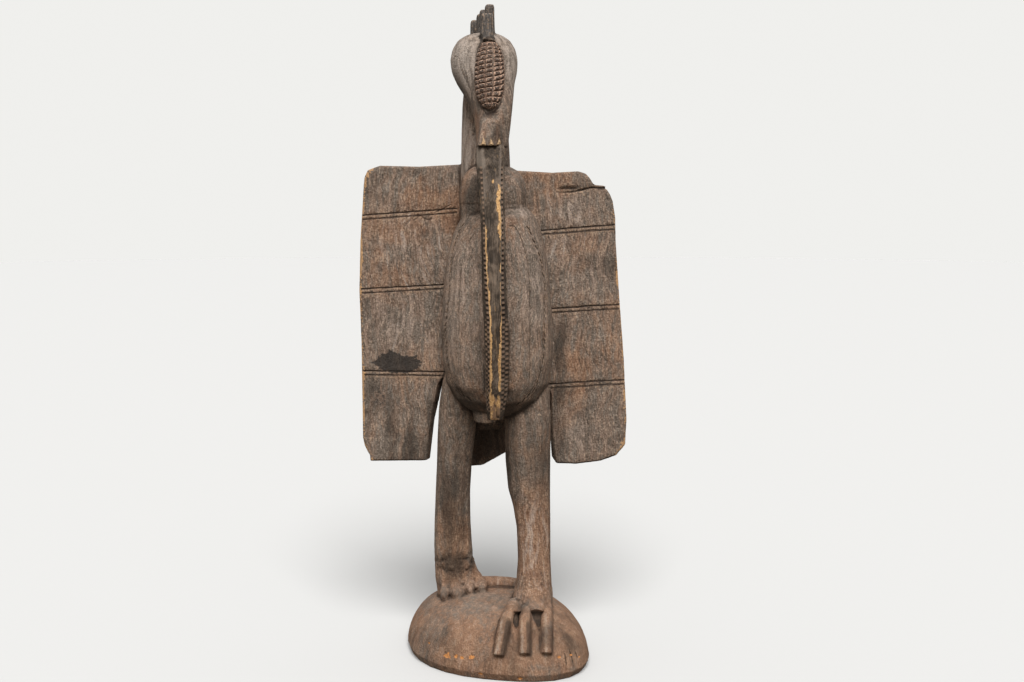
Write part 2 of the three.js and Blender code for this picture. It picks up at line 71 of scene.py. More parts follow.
def softNoise(points, size, seed=0):
    place = points / np.array(size) + 17.3 * seed + 1000
    cell = np.floor(place).astype(np.int64)
    share = place - cell
    share = share * share * (3 - 2 * share)
    total = np.zeros(len(points))
    for corner in product((0, 1), repeat=3):
        at = cell + np.array(corner)
        mark = at[:, 0] * 73856093 ^ at[:, 1] * 19349663 ^ at[:, 2] * 83492791
        mark = (mark ^ (mark >> 13)) * 1274126177
        value = ((mark ^ (mark >> 16)) & 65535) / 32767.5 - 1
        weight = np.ones(len(points))
        for axis in range(3):
            weight *= share[:, axis] if corner[axis] else 1 - share[:, axis]
        total += value * weight
    return total


def readVectors(items, name):
    values = np.empty(len(items) * 3, np.float32)
    items.foreach_get(name, values)
    return values.reshape(-1, 3).astype(float)


def writePoints(mesh, points):
    mesh.vertices.foreach_set("co", points.astype(np.float32).ravel())
    mesh.update()
    bpy.context.view_layer.update()


def bakeModifiers(piece):
    graph = bpy.context.evaluated_depsgraph_get()
    mesh = bpy.data.meshes.new_from_object(piece.evaluated_get(graph))
    piece.modifiers.clear()
    old = piece.data
    piece.data = mesh
    bpy.data.meshes.remove(old)


def neighbourMean(values, edges, count):
    a, b = edges[:, 0], edges[:, 1]
    flat = values if values.ndim == 2 else values[:, None]
    mean = np.empty_like(flat)
    for k in range(flat.shape[1]):
        total = np.bincount(a, flat[b, k], len(flat)) + np.bincount(b, flat[a, k], len(flat))
        mean[:, k] = total / count
    return mean if values.ndim == 2 else mean[:, 0]


def curve(points, step=0.006):
    knots = np.array(points, float)
    knots = np.vstack([2 * knots[0] - knots[1], knots, 2 * knots[-1] - knots[-2]])
    path = []
    for a, b, c, d in zip(knots, knots[1:], knots[2:], knots[3:]):
        for t in np.linspace(0, 1, max(2, int(np.linalg.norm(c - b) / step)), endpoint=False):
            path.append(
                0.5 * (2 * b + (c - a) * t + (2 * a - 5 * b + 4 * c - d) * t**2 + (3 * b - a - 3 * c + d) * t**3)
            )
    path.append(knots[-2])
    return np.array(path)


def wrappedSkin(name, sides, rings, shape):
    # A grid is rolled into a closed skin: s runs round it and t runs up it
    skin = bmesh.new()
    bmesh.ops.create_grid(skin, x_segments=sides, y_segments=rings, size=0.5)
    skin.verts.ensure_lookup_table()
    flat = np.array([vert.co[:2] for vert in skin.verts]) + 0.5
    places, masks = shape(flat[:, 0], flat[:, 1])
    for vert, place in zip(skin.verts, places):
        vert.co = place
    for label, values in masks.items():
        layer = skin.verts.layers.float.new(label)
        for vert, value in zip(skin.verts, values):
            vert[layer] = value
    bmesh.ops.remove_doubles(skin, verts=skin.verts, dist=0.00001)
    bmesh.ops.holes_fill(skin, edges=skin.edges, sides=0)
    bmesh.ops.recalc_face_normals(skin, faces=skin.faces)
    mesh = bpy.data.meshes.new(name)
    skin.to_mesh(mesh)
    skin.free()
    mesh.polygons.foreach_set("use_smooth", np.ones(len(mesh.polygons), bool))
    piece = bpy.data.objects.new(name, mesh)
    bpy.context.collection.objects.link(piece)
    return piece


# The blank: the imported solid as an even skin, its facets softened and its edges kept

blank = {
    "voxel": 0.0026,
    "softRounds": 170,
    "facetAngle": 5.5,  # degrees between neighbours on a facet's edge
    "edgeAngle": 12,  # degrees between neighbours on an edge that stays
    "creaseAngle": (3, 6),  # the same for creases, where forms meet
    "triangles": 192000,
    "detailGuard": 0.00008,  # how much the thinning spares the carved places
}


def makeBlank(source, values):
    bird = bpy.data.objects.new("carved_hornbill", source.data.copy())
    bpy.context.collection.objects.link(bird)
    skin = bmesh.new()
    skin.from_mesh(bird.data)
    bmesh.ops.remove_doubles(skin, verts=skin.verts, dist=0.00005)
    skin.to_mesh(bird.data)
    skin.free()
    remesh = bird.modifiers.new("even skin", "REMESH")
    remesh.mode = "VOXEL"
    remesh.voxel_size = values["voxel"]
    bakeModifiers(bird)
    return bird


bird = makeBlank(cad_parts["bird_figure"], blank)
mesh = bird.data
points = readVectors(mesh.vertices, "co")
edges = np.empty(len(mesh.edges) * 2, np.int32)
mesh.edges.foreach_get("vertices", edges)
edges = edges.reshape(-1, 2)
ties = np.bincount(edges.ravel(), minlength=len(points)).astype(float)
print("blank", len(points))


def within(low, high):
    return ((points > np.array(low) * mm) & (points < np.array(high) * mm)).all(1)


def above(low, high):
    return ramp(points[:, 2], low, high)


def farFrom(middle, reach):
    # Squared distance from a spot in mm, counted in its reach: 1 on the ellipsoid's skin
    return (((points / mm - middle) / reach) ** 2).sum(1)


def softened(values, rounds):
    for _ in range(rounds):
        values = values + 0.5 * (neighbourMean(values, edges, ties) - values)
    return values


def weighGroup(name, weights):
    group = bird.vertex_groups.new(name=name)
    levels = np.round(weights * 20).astype(int)
    for level in range(1, 21):
        group.add(np.flatnonzero(levels == level).tolist(), level / 20, "REPLACE")
    return group


def relaxed(places, rounds, hold=None):
    writePoints(mesh, places)
    smooth = bird.modifiers.new("relax", "SMOOTH")
    smooth.factor = 0.5
    smooth.iterations = rounds
    if hold is not None:
        smooth.vertex_group = weighGroup("give", hold).name
    graph = bpy.context.evaluated_depsgraph_get()
    moved = readVectors(bird.evaluated_get(graph).data.vertices, "co")
    bird.modifiers.clear()
    bird.vertex_groups.clear()
    return moved


def nearPath(path, reach):
    low, high = path.min(0) - reach, path.max(0) + reach
    near = np.flatnonzero(((points > low) & (points < high)).all(1))
    gap = np.full(len(near), 9.0)
    place = np.zeros(len(near))
    walked = 0.0
    for start, end in zip(path[:-1], path[1:]):
        line = end - start
        length = max(np.linalg.norm(line), 1e-6)
        share = np.clip((points[near] - start) @ line / length**2, 0, 1)
        away = np.linalg.norm(points[near] - start - share[:, None] * line, axis=1)
        closer = away < gap
        gap[closer] = away[closer]
        place[closer] = (walked + share * length)[closer]
        walked += length
    return near, gap / mm, place / max(walked, 1e-6)


# The solid's own beak: height, x, y, half width, half depth. It becomes the core of the long beak.
beakSections = np.array(
    [
        (796, -10, -198, 28, 26),
        (862, -8, -214, 32, 37),
        (960, -9, -236, 32, 44),
        (1080, -10, -248, 34, 47),
        (1200, -11, -248, 35, 47),
        (1320, -13, -238, 35, 48),
        (1443, -17, -214, 36, 48),
        (1540, -23, -180, 39, 46),
        (1600, -22, -150, 41, 44),
        (1680, -20, -110, 36, 38),
    ],
    float,
)
beakCurve = curve(beakSections, 12)
beakX, beakY, beakWide, beakDeep = (
    np.interp(points[:, 2] / mm, beakCurve[:, 0], beakCurve[:, k]) for k in range(1, 5)
)


def fromBeak():
    # How far each point is from the core's middle, sideways and forwards, in mm
    return points[:, 0] / mm - beakX, points[:, 1] / mm - beakY


beakU, beakV = fromBeak()
onBeak = (np.abs(beakU) < beakWide + 4) & (beakV > -beakDeep - 5) & (beakV < beakDeep * 0.55)
onBeak &= (points[:, 2] > 0.78) & (points[:, 2] < 1.596)

# The cob's line up the face, and its outline along that line
cob = {
    "foot": (-25, -165, 1707),
    "head": (-22, -102, 1901),
    "halfWidth": 45,
    "relief": 31,
    "columns": 5,
    "rows": 14,
    "spread": 2.9,  # radians that the kernels cover
    "cutDepth": 7,
    "rowRise": 1.6,  # how far a row climbs to the viewer's right, in rows
}
cobFoot, cobHead = np.array(cob["foot"]) * mm, np.array(cob["head"]) * mm
cobLength = np.linalg.norm(cobHead - cobFoot)
cobAlong = (cobHead - cobFoot) / cobLength
cobSide = np.cross((0, 0, 1), cobAlong)
cobSide /= np.linalg.norm(cobSide)
if np.cross(cobAlong, cobSide)[1] > 0:
    cobSide = -cobSide
cobOutward = np.cross(cobAlong, cobSide)
offset = points - cobFoot
cobV = offset @ cobAlong / cobLength
cobAcross, cobOut = offset @ cobSide / mm, offset @ cobOutward / mm
onCob = (cobV > -0.06) & (cobV < 1.04) & (np.abs(cobAcross) < 52) & (cobOut > 3) & (cobOut < 42)

# Chains of leaf cuts and fine lines on the belly, as paths on its skin
belly = {
    "leafPitch": 22,
    "leafLength": 25,
    "leafWidth": 9,
    "leafDepth": 7,
    "leafSlant": 0.42,
    "rightChain": [(87, -121, 1376), (112, -123, 1322), (128, -114, 1280), (141, -110, 1228), (146, -112, 1174),
                   (147, -122, 1099), (143, -131, 1054), (143, -132, 993), (130, -140, 918), (112, -142, 875),
                   (90, -150, 852), (60, -150, 830)],
    "leftChain": [(-100, -84, 1384), (-121, -82, 1342), (-134, -81, 1306), (-141, -84, 1264), (-151, -96, 1147),
                  (-162, -84, 1041), (-157, -93, 987), (-150, -88, 905), (-136, -101, 883), (-113, -120, 858),
                  (-85, -136, 842)],
    "rightArc": [(20, -229, 1394), (46, -154, 1374), (66, -155, 1344), (80, -158, 1302), (91, -164, 1240),
                 (97, -177, 1120), (95, -180, 1031), (96, -175, 954), (92, -165, 900)],
    "leftArc": [(-60, -160, 1372), (-86, -146, 1330), (-104, -140, 1280), (-112, -142, 1219), (-114, -148, 1120),
                (-110, -150, 1040)],
}

normals = readVectors(mesh.vertices, "normal")
calm = softened(normals, 2)
calm /= np.linalg.norm(calm, axis=1)[:, None]
bend = np.degrees(np.arccos(np.clip((calm[edges[:, 0]] * calm[edges[:, 1]]).sum(1), -1, 1)))
dips = ((calm[edges[:, 1]] - calm[edges[:, 0]]) * (points[edges[:, 1]] - points[edges[:, 0]])).sum(1) < 0


def widest(bends, rings):
    sharp = np.zeros(len(points))
    np.maximum.at(sharp, edges[:, 0], bends)
    np.maximum.at(sharp, edges[:, 1], bends)
    for _ in range(rings):
        wide = sharp.copy()
        np.maximum.at(wide, edges[:, 0], sharp[edges[:, 1]])
        np.maximum.at(wide, edges[:, 1], sharp[edges[:, 0]])
        sharp = wide
    return sharp


give = 1 - ramp(widest(bend, 2), blank["facetAngle"], blank["edgeAngle"])
give = np.minimum(give, 1 - ramp(widest(bend * dips, 3), *blank["creaseAngle"]))
crease = ramp(widest(bend * dips, 0), 5, 11)
for name in ("rightChain", "leftChain"):
    near, gap, place = nearPath(curve(belly[name], 12) * mm, 0.034)
    give[near] = np.maximum(give[near], 1 - ramp(gap, 22, 34))
give[onBeak] = 1
give[onCob] = 1
give[points[:, 2] < 0.012] *= 0.2  # the rim that stands on the floor
onTooth = above(1.915, 1.935) * (points[:, 1] < -0.07) * (points[:, 0] < 0.005)
give *= 1 - 0.95 * np.maximum(onTooth, above(1.935, 1.95))

feet = {
    "crisp": ((-40, -330, 20), (190, -150, 170)),  # the box in which the toes keep their edges
    "worn": [  # middle, reach, least share of softening
        ((90, -150, 188), (110, 70, 30), 0.5),
        ((90, -230, 110), (120, 90, 90), 0.3),
        ((-110, -30, 215), (130, 90, 50), 0.4),
    ],
    "pockets": [((96, -200, 128), (143, -95, 201)), ((38, -200, 128), (71, -95, 201))],
    "pocketTop": (-0.144, 0.195, 0.8),  # the slope that fills them: y, at this z, and how much y per z
    "ledge": (0.035, 0.179, 0.189),  # the ankle's lower edge: how far it stands out, from z, to z
    "toes": [  # low and high end of the ridge as z and x, strength of the ridge's painted highlight and of the painted shade beside it
        ((75, -17), (175, 10), 0.9, 0.8),
        ((75, 66), (178, 69), 0.9, 0.85),
        ((75, 137), (185, 142), 1.0, 0.5),
    ],
}
give[within(*feet["crisp"])] *= 0.25
for middle, reach, least in feet["worn"]:
    away = farFrom(middle, reach)
    give = np.maximum(give, least * ramp(1.3 - away, 0, 0.6))
    crease *= 1 - 0.75 * ramp(1.6 - away, 0, 0.6)
quiet = ~within((-135, -130, 1418), (-45, -30, 1450))  # all but the collar's left top
crease *= quiet
# The solid's deep pockets between the toes are filled up to a slope
slopeY, slopeZ, slopeRise = feet["pocketTop"]
slope = slopeY - (slopeZ - points[:, 2]) * slopeRise - feet["ledge"][0] * above(*feet["ledge"][1:])
hollows = np.zeros(len(points))
for low, high in feet["pockets"]:
    pocket = within(low, high) & (points[:, 1] > slope)
    points[pocket, 1] = slope[pocket]
    give[pocket] = 1
    hollows[pocket] = 1
give = np.clip(softened(give, 2), 0.015, 1)
once = relaxed(points, blank["softRounds"], give)
points = 2 * once - relaxed(once, blank["softRounds"], give)  # what softening shrinks is given back
print("facets softened")

# Square the end of the snout, which the solid leaves round
snout = {
    "middle": (-19, -150),
    "turn": 10,
    "halfWidth": 47,
    "halfDepth": 62,
    "end": 1.5965,
    "fade": (1.66, 1.725),
    "frontShift": -18,
    "frontNarrowing": 0.24,
}
turned = math.radians(snout["turn"])
fromX, fromY = (points[:, k] / mm - snout["middle"][k] for k in (0, 1))
besideX = (fromX * math.cos(turned) + fromY * math.sin(turned)) / snout["halfWidth"]
besideY = (-fromX * math.sin(turned) + fromY * math.cos(turned)) / snout["halfDepth"]
roundEnd, squareEnd = (
    np.maximum((np.abs(besideX) ** power + np.abs(besideY) ** power) ** (1 / power), 0.05) for power in (3, 7)
)
onSnout = (points[:, 2] > snout["end"]) * (1 - above(*snout["fade"])) * ramp(0.3 - besideY, 0, 0.4)
stretch = onSnout * (roundEnd / squareEnd - 1)
points[:, 0] += stretch * fromX * mm
points[:, 1] += stretch * fromY * mm
forward = onSnout * ramp(-besideY, -0.1, 0.95)
fromX = points[:, 0] / mm - snout["middle"][0]
points[:, 0] += forward * (snout["frontShift"] - snout["frontNarrowing"] * fromX) * mm
points[:, 0] += onTooth * np.minimum(points[:, 0] + 0.02, 0) * 0.28

# Draw the solid's beak and cob in, so that the pieces made for them cover what is left
beakU, beakV = fromBeak()
draw = onBeak * ramp(beakDeep * 0.5 - beakV, 0, 10)
points[:, 0] -= draw * 0.3 * beakU * mm
points[:, 1] -= draw * 0.3 * np.minimum(beakV, 0) * mm
points[:, 2] += draw * 0.012 * (1 - above(0.79, 0.83))
sink = (8 + 6 * ramp(np.abs(cobV - 0.5), 0.42, 0.5)) * onCob * ramp(cobOut, 3, 12) * mm
points -= sink[:, None] * cobOutward

# Plane the wing boards where the solid's score lines were
wing = {
    "front": 52,
    "lines": [  # outer end, inner end, both x and z
        ((-432, 1390), (-120, 1414)), ((-432, 1160), (-120, 1177)), ((-432, 901), (-120, 894)),
        ((120, 1342), (424, 1366)), ((120, 1093), (424, 1111)), ((120, 850), (424, 866)),
    ],
    "gap": 12.5,
    "lineWidth": 4.8,
    "lineDepth": 5.5,
    "hollow": 2.6,  # how far the boards wave
    "cracks": [  # path in x and z, width, depth
        ([(175, 1473), (206, 1470), (239, 1471), (272, 1477), (305, 1484), (352, 1483)], 9, 9),
        ([(185, 1480), (215, 1481), (245, 1482), (275, 1483)], 22, 8),
        ([(-238, 1399), (-220, 1387), (-206, 1384), (-196, 1394)], 6, 4),
        ([(-200, 1405), (-176, 1412), (-152, 1425), (-127, 1438)], 6, 5),
    ],
    "fans": [  # strokes: where they start, lean and spread in degrees, reach, number, bow
        ((-150, 1440), -52, 66, 230, 46, 0.45), ((118, 1520), 34, 60, 230, 46, -0.3),
        ((-260, 1150), -14, 60, 260, 14, 0.1), ((240, 1090), 8, 70, 260, 14, 0.1),
    ],
}
front = wing["front"] * mm
onBoards = within((-440, 46, 590), (440, 64, 1570)) & (np.abs(points[:, 0]) > 0.1)
for (x0, z0), (x1, z1) in wing["lines"]:
    x, z = points[:, 0] / mm, points[:, 2] / mm
    inside = (x > x0 + (12 if x0 > 0 else 14)) & (x < x1 - (6 if x0 > 0 else 0))
    inside &= np.abs(z - z0 - (z1 - z0) * (x - x0) / (x1 - x0)) < 14
    points[onBoards & inside & (points[:, 1] < front + 0.008), 1] = front
points = relaxed(points, 3)
writePoints(mesh, points)
normals = readVectors(mesh.vertices, "normal")

xs, ys, zs = points.T / mm
depth = np.zeros(len(points))  # how far each point is cut in, in mm
maskNames = ("bare", "sootAndShade", "red", "pale", "cut", "comb", "cob", "kernel", "lit", "burn")
marks = {name: np.zeros(len(points)) for name in maskNames}


def mark(name, values, at=slice(None)):
    marks[name][at] = np.maximum(marks[name][at], values)


def onSkin(point):
    return bird.closest_point_on_mesh(Vector(point))[1:3]  # its place and normal


def snapped(path):
    return np.array([onSkin(point)[0] for point in np.array(path, float) * mm])


def score(path, width, cut, fade=0.0, bowl=False, dark=1.0):
    # A V-shaped cut along a path, or a bowl-shaped one, that fades out over a share of its length
    near, gap, place = nearPath(path, width * mm)
    profile = np.clip(1 - gap / (width / 2), 0, 1)
    if bowl:
        profile = np.sin(profile * math.pi / 2)
    if fade:
        profile *= np.clip(np.minimum(place, 1 - place) / fade, 0, 1)
    depth[near] = np.maximum(depth[near], cut * profile)
    # The groove is painted dark by the given amount, as the shade that lies in it
    mark("cut", dark * ramp(profile, 0, 0.6), near)
    return near, profile


def scoreSkin(path, width, cut, fade, dark=1.0):
    score(snapped(curve(path, 8)), width, cut, fade, dark=dark)


def dab(name, spots):
    for x, y, z, across, tall, strength in spots:
        mark(name, strength * np.exp(-farFrom((x, y, z), (across, across, tall))))


# Boards: hollows left by the adze, paired score lines, cracks and strokes
random.seed(7)
wave = softNoise(points, (0.11, 0.2, 0.16), 1) + 0.45 * softNoise(points, (0.035, 0.1, 0.06), 2)
depth += onBoards * (points[:, 1] < front + 0.004) * (wing["hollow"] * (wave * 0.5 + 0.35))
for (x0, z0), (x1, z1) in wing["lines"]:
    for side, width, cut in ((-0.5, 0.75, 0.7), (0.5, 1, 1)):
        steps = np.linspace(0, 1, 14)
        jitter = [random.uniform(-1.4, 1.4) for _ in steps]
        line = [
            (x0 + (x1 - x0) * t, wing["front"], z0 + (z1 - z0) * t + side * wing["gap"] + shake)
            for t, shake in zip(steps, jitter)
        ]
        line = curve(line, 20) * mm
        score(line, wing["lineWidth"] * width, wing["lineDepth"] * cut, dark=0.72)
        near, gap, along = nearPath(line - np.array((0, 0, 0.0055)), 0.005)
        mark("lit", ramp(3.6 - gap, 0, 2) * random.uniform(0.5, 1), near)
for path, width, cut in wing["cracks"]:
    score(curve([(x, wing["front"], z) for x, z in path], 8) * mm, width, cut, fade=0.3, dark=0.3)


def strokeBoards(start, lean, spread, long, count, bow):
    # Shallow pale strokes fan out from a knot, where the grain turns round it
    for _ in range(count):
        angle = math.radians(lean + spread * (random.random() - 0.5))
        far = random.uniform(0.25, 1) * long
        reach = random.uniform(0.2, 0.5) * long
        path = []
        for t in (0, 0.33, 0.66, 1):
            away = far + reach * t
            turn = angle + bow * (away / long) ** 2
            path.append((start[0] + away * math.sin(turn), wing["front"], start[1] - away * math.cos(turn)))
        width = random.uniform(4, 9)
        near, profile = score(curve(path, 10) * mm, width, random.uniform(1, 2.4), 0.4, True, 0)
        mark("pale", profile * random.uniform(0.15, 0.65), near)


for fan in wing["fans"]:
    strokeBoards(*fan)
print("boards cut")


def leafChain(knots, side):
    path = snapped(curve(knots, 5))
    along = np.gradient(path, axis=0)
    walked = np.concatenate([[0], np.cumsum(np.linalg.norm(np.diff(path, axis=0), axis=1))])
    at = 0.012
    while at < walked[-1]:
        k = int(np.searchsorted(walked, at))
        place, normal = onSkin(path[k])
        line = Vector(along[k]).normalized()
        across = normal.cross(line).normalized()
        lean = (line + across * belly["leafSlant"] * side * random.uniform(0.8, 1.2)).normalized()
        half = belly["leafLength"] * mm / 2
        leaf = np.array([place - lean * half, place + normal * 0.0005, place + lean * half])
        score(leaf, belly["leafWidth"], belly["leafDepth"] * random.uniform(0.75, 1.1), 0.3)
        near, gap, share = nearPath(leaf, 0.009)
        beside = ramp(gap, 3.5, 5) * ramp(8.5 - gap, 0, 2) * np.sin(np.clip(share, 0, 1) * math.pi)
        mark("lit", 0.7 * beside, near)
        at += belly["leafPitch"] * mm * random.uniform(0.92, 1.08)
    for shift in (-0.011, 0.011):
        rail = []
        for k in range(0, len(path), 3):
            place, normal = onSkin(path[k])
            rail.append(np.array(place + normal.cross(Vector(along[k])).normalized() * shift) / mm)
        score(snapped(rail), 5, 2, 0.05, dark=0.4)


leafChain(belly["rightChain"], 1)
leafChain(belly["leftChain"], -1)
scoreSkin(belly["rightArc"], 4.6, 2.6, 0.04, 0.6)
scoreSkin(belly["leftArc"], 4.6, 2, 0.1, 0.4)
onBelly = within((-182, -215, 790), (182, 40, 1434)) & ~onBeak
depth += onBelly * 0.5 * (softNoise(points, (0.018, 0.018, 0.1), 3) + 1)
depth += onBelly * 0.9 * (softNoise(points, (0.07, 0.07, 0.16), 21) + 1)
print("belly cut")

# Face: splinters broken out of the snout's end, and eyes drilled as rings of dots
face = {
    "chips": [(-43, 32), (-21, 28), (3, 34)],  # x and height of each splinter
    "chipBox": ((-85, -260, 1590), (40, -150, 1636)),
    "chipDepth": 7,
    "lip": ((-72, -260, 1594), (34, -140, 1604)),
    "eyes": [(-124, -55, 1855), (66, -22, 1855)],
    "eyeSize": (11, 17),
    "eyeDots": 11,
    "snoutGrooves": (-42, -34, -12, -3, 5),
    "cheekGrain": [(0, 0), (9, -8), (-10, 14)],
    "cobFoot": ((-26, -176, 1692), (26, 30, 11)),
}
for x, tall in face["chips"]:
    rise = (zs - 1597) / tall
    gape = np.clip(1 - np.abs(xs - x) / np.maximum(11 * (1 - rise), 0.1), 0, 1)
    chip = within(*face["chipBox"]) * gape * np.clip(1 - rise, 0, 1)
    depth = np.maximum(depth, face["chipDepth"] * ramp(chip, 0, 0.45) * np.clip(1.1 - rise, 0, 1))
    mark("bare", 0.8 * ramp(chip, 0.02, 0.3))
# Painted shadow on the downward face under the snout's end
mark("cut", 0.9 * within(*face["lip"]) * ramp(-normals[:, 2], -0.1, 0.5))
for x, y, z in face["eyes"]:
    for k in range(face["eyeDots"]):
        angle = 2 * math.pi * k / face["eyeDots"]
        dot = snapped([(x, y + face["eyeSize"][0] * math.cos(angle), z + face["eyeSize"][1] * math.sin(angle))])
        score(np.vstack([dot, dot + 0.0005]), 4.5, 2, 0, True, 0.5)
for x in face["snoutGrooves"]:
    scoreSkin([(x * 0.9 - 3, -250, 1668), (x + random.uniform(-2, 2), -250, 1635), (x, -250, 1604)], 5, 1.6, 0.3, 0.3)
for x, z in face["cheekGrain"]:
    scoreSkin([(x - 96, -60, z + 1868), (x - 93, -90, 1815), (-80, -110, 1768), (-72, -120, z + 1715)],
              4.5, 1.8, 0.35, 0.45)

# A rim round the cob, cut down to the face and painted dark as its shadow line, and a nick under its foot, painted dark
# as the cob's shadow
rimGap = np.hypot(cobAcross / (cob["halfWidth"] + 3), (cobV - 0.5) / 0.55)
rimCut = np.exp(-(((rimGap - 1.03) / 0.05) ** 2)) * (cobOut > 2) * (cobOut < 60) * (points[:, 2] < 1.87)
depth += 2.6 * rimCut
mark("cut", 0.75 * rimCut)
nick = np.exp(-farFrom(*face["cobFoot"]))
depth += 5 * nick
mark("cut", nick)

# Comb: grooves up each tooth, whose foot swells out over the cob
comb = {
    "groovePitch": 9,
    "grooveDepth": 1.9,
    "toothFoot": ((-49, -150, 1885), (-6, -80, 1936)),
    "footSwell": 3,
}
onTooth = (np.abs(points[:, 0] + 0.028) < 0.024) & (points[:, 1] < -0.08) & (points[:, 1] > -0.14)
onComb = np.maximum(above(1.944, 1.952), onTooth * above(1.915, 1.922))
across = xs + ys * 0.9 + 4 * softNoise(points, (0.02, 0.02, 0.05), 6)
ribs = np.abs((across / comb["groovePitch"]) % 1 - 0.5) * 2
grooved = onComb * np.clip(1 - ribs * 2.2, 0, 1) * (0.7 + 0.5 * softNoise(points, (0.015, 0.015, 0.03), 61))
toothFoot = within(*comb["toothFoot"]) * above(1.885, 1.9) * (cobV > 0.98)
depth -= comb["footSwell"] * softened(toothFoot, 4) * (1 - above(1.9, 1.94))
mark("comb", np.maximum(onComb, toothFoot))
depth += comb["grooveDepth"] * grooved
mark("cut", 0.6 * grooved)
print("head cut")

# Plinth: adze waves, chips knocked off its edge and a few splits along the grain
plinth = {
    "wave": 1.6,
    "chipDepth": 1.8,
    "chips": [  # x, y, z, size
        (-157, -188, 56, 15), (-84, -223, 66, 11), (-135, -200, 60, 9), (177, -243, 68, 8), (239, -208, 52, 7),
        (-60, -240, 20, 9), (60, -262, 14, 8), (-210, -120, 70, 6), (-112, -210, 58, 8), (212, -226, 66, 6),
    ],
    "splits": [
        [(196, -236, 84), (198, -240, 60), (197, -242, 36)],
        [(214, -226, 90), (218, -230, 64), (216, -232, 34)],
        [(232, -214, 76), (236, -216, 50)],
        [(-262, 60, 120), (-268, 64, 70)],
        [(60, 262, 110), (66, 268, 50)],
    ],
}
onPlinth = (points[:, 2] < 0.21) & (points[:, 2] > 0.004)
wave = softNoise(points, (0.05, 0.05, 0.04), 8) + 0.5 * softNoise(points, (0.018, 0.018, 0.03), 9)
depth += onPlinth * above(0.004, 0.02) * plinth["wave"] * (0.5 * wave + 0.4)
for x, y, z, size in plinth["chips"]:
    away = np.linalg.norm((points - snapped([(x, y, z)])[0]) * (1, 1, 1.5), axis=1) / mm
    inward = size - away - size * 0.5 * softNoise(points, (0.006, 0.006, 0.006), 10)
    depth += plinth["chipDepth"] * ramp(inward, 0, size * 0.5)
    mark("bare", 0.8 * ramp(inward, 0, size * 0.3))
for path in plinth["splits"]:
    scoreSkin(path, 5, 3.5, 0.3)

# Legs: a knotty ring over the back foot, a cut and shallow hollows
legs = {
    "knot": ((-128, 20, 284), (90, 100, 36)),
    "knotDepth": 7,
    "box": ((-230, -170, 230), (200, 140, 800)),
    "cut": [(109, -110, 576), (130, -104, 573), (158, -83, 568)],
}
knotty = np.exp(-farFrom(*legs["knot"]) ** 2)
knotty *= ramp(softNoise(points, (0.05, 0.05, 0.03), 22), -0.9, 0.1)
rough = softNoise(points, (0.02, 0.02, 0.013), 11) + 0.7 * softNoise(points, (0.009, 0.009, 0.006), 12)
depth += knotty * legs["knotDepth"] * (rough * 0.6 + 0.4)
mark("cut", 0.75 * knotty * ramp(rough, 0.1, 0.8))
mark("sootAndShade", knotty * (0.9 - 0.35 * ramp(-rough, 0.3, 0.9)))
depth += within(*legs["box"]) * 0.9 * (softNoise(points, (0.026, 0.026, 0.14), 13) + 1)
score(snapped(curve(legs["cut"], 6)), 4, 1.4, 0.2, dark=0.6)

# The hollows between the toes are painted dark as shade, and each toe gets a painted highlight, in the edge and pale
# colours, on its left ridge and painted shade on its right face
shaded = softened(hollows, 8) * above(0.125, 0.165) * (1 - 0.8 * above(0.177, 0.189))
mark("sootAndShade", 0.95 * ramp(shaded, 0, 0.6))
# Painted shade under the ankle's lower edge, between the toes
for x, y, z, wide, tall in ((66, -166, 190, 16, 22), (118, -172, 182, 20, 24), (28, -140, 190, 10, 14)):
    mark("sootAndShade", 0.55 * np.exp(-1.2 * farFrom((x, y, z), (wide, 30, tall))))
for (low, lowX), (high, highX), lightness, shade in feet["toes"]:
    rise = (zs - low) / (high - low)
    beside = xs - lowX - (highX - lowX) * rise
    onToe = ramp(rise, -0.15, 0.1) * ramp(1.1 - rise, 0, 0.25) * (points[:, 1] < -0.17)
    ridgeLine = lightness * onToe * np.exp(-((beside / 5) ** 2))
    mark("lit", ridgeLine)
    mark("pale", 0.5 * ridgeLine)
    mark("sootAndShade", shade * onToe * ramp(beside, 9, 15) * ramp(38 - beside, 0, 10))

# Wear: outer edges are rounded and nibbled, and the whole skin is a little uneven
wear = {
    "creaseDepth": 2.2,
    "edgeDepth": 0.3,
    "nibbleDepth": 1.0,
    "wingNibbleDepth": 3.2,
    "unevenness": 0.22,
}
base = points - normals * depth[:, None] * mm
rounded = relaxed(base, 10)
ridge = ((base - rounded) * normals).sum(1) / mm
creased = ramp(-ridge, 0.5, 1.6) * (depth < 2.5) * ~(onBeak | onCob) * quiet * above(0.24, 0.34)
creased = softened(creased, 1)
base = base - normals * (wear["creaseDepth"] * creased)[:, None] * mm
nibble = softNoise(points, (0.022, 0.022, 0.03), 14) + 0.4 * softNoise(points, (0.007, 0.007, 0.009), 15)
nibble = ramp(nibble, 0.1, 0.75)
edgeWear = ramp(ridge, 0.35, 1.3) * (points[:, 2] > 0.006)
onEdges = within((-450, 20, 580), (450, 140, 1580))
nibbled = np.where(onEdges, wear["wingNibbleDepth"], wear["nibbleDepth"]) * nibble
handled = edgeWear * (wear["edgeDepth"] + nibbled) * ~(onBeak | onCob)
uneven = wear["unevenness"] * softNoise(points, (0.014, 0.014, 0.05), 16) * (points[:, 2] > 0.004)
points = base - normals * ((handled + uneven) * mm)[:, None]
points[:, 2] = np.maximum(points[:, 2], 0)
points = np.clip(points, np.array(cadBox[0]) - 0.002, np.array(cadBox[1]) + 0.001)
writePoints(mesh, points)
print("worn")

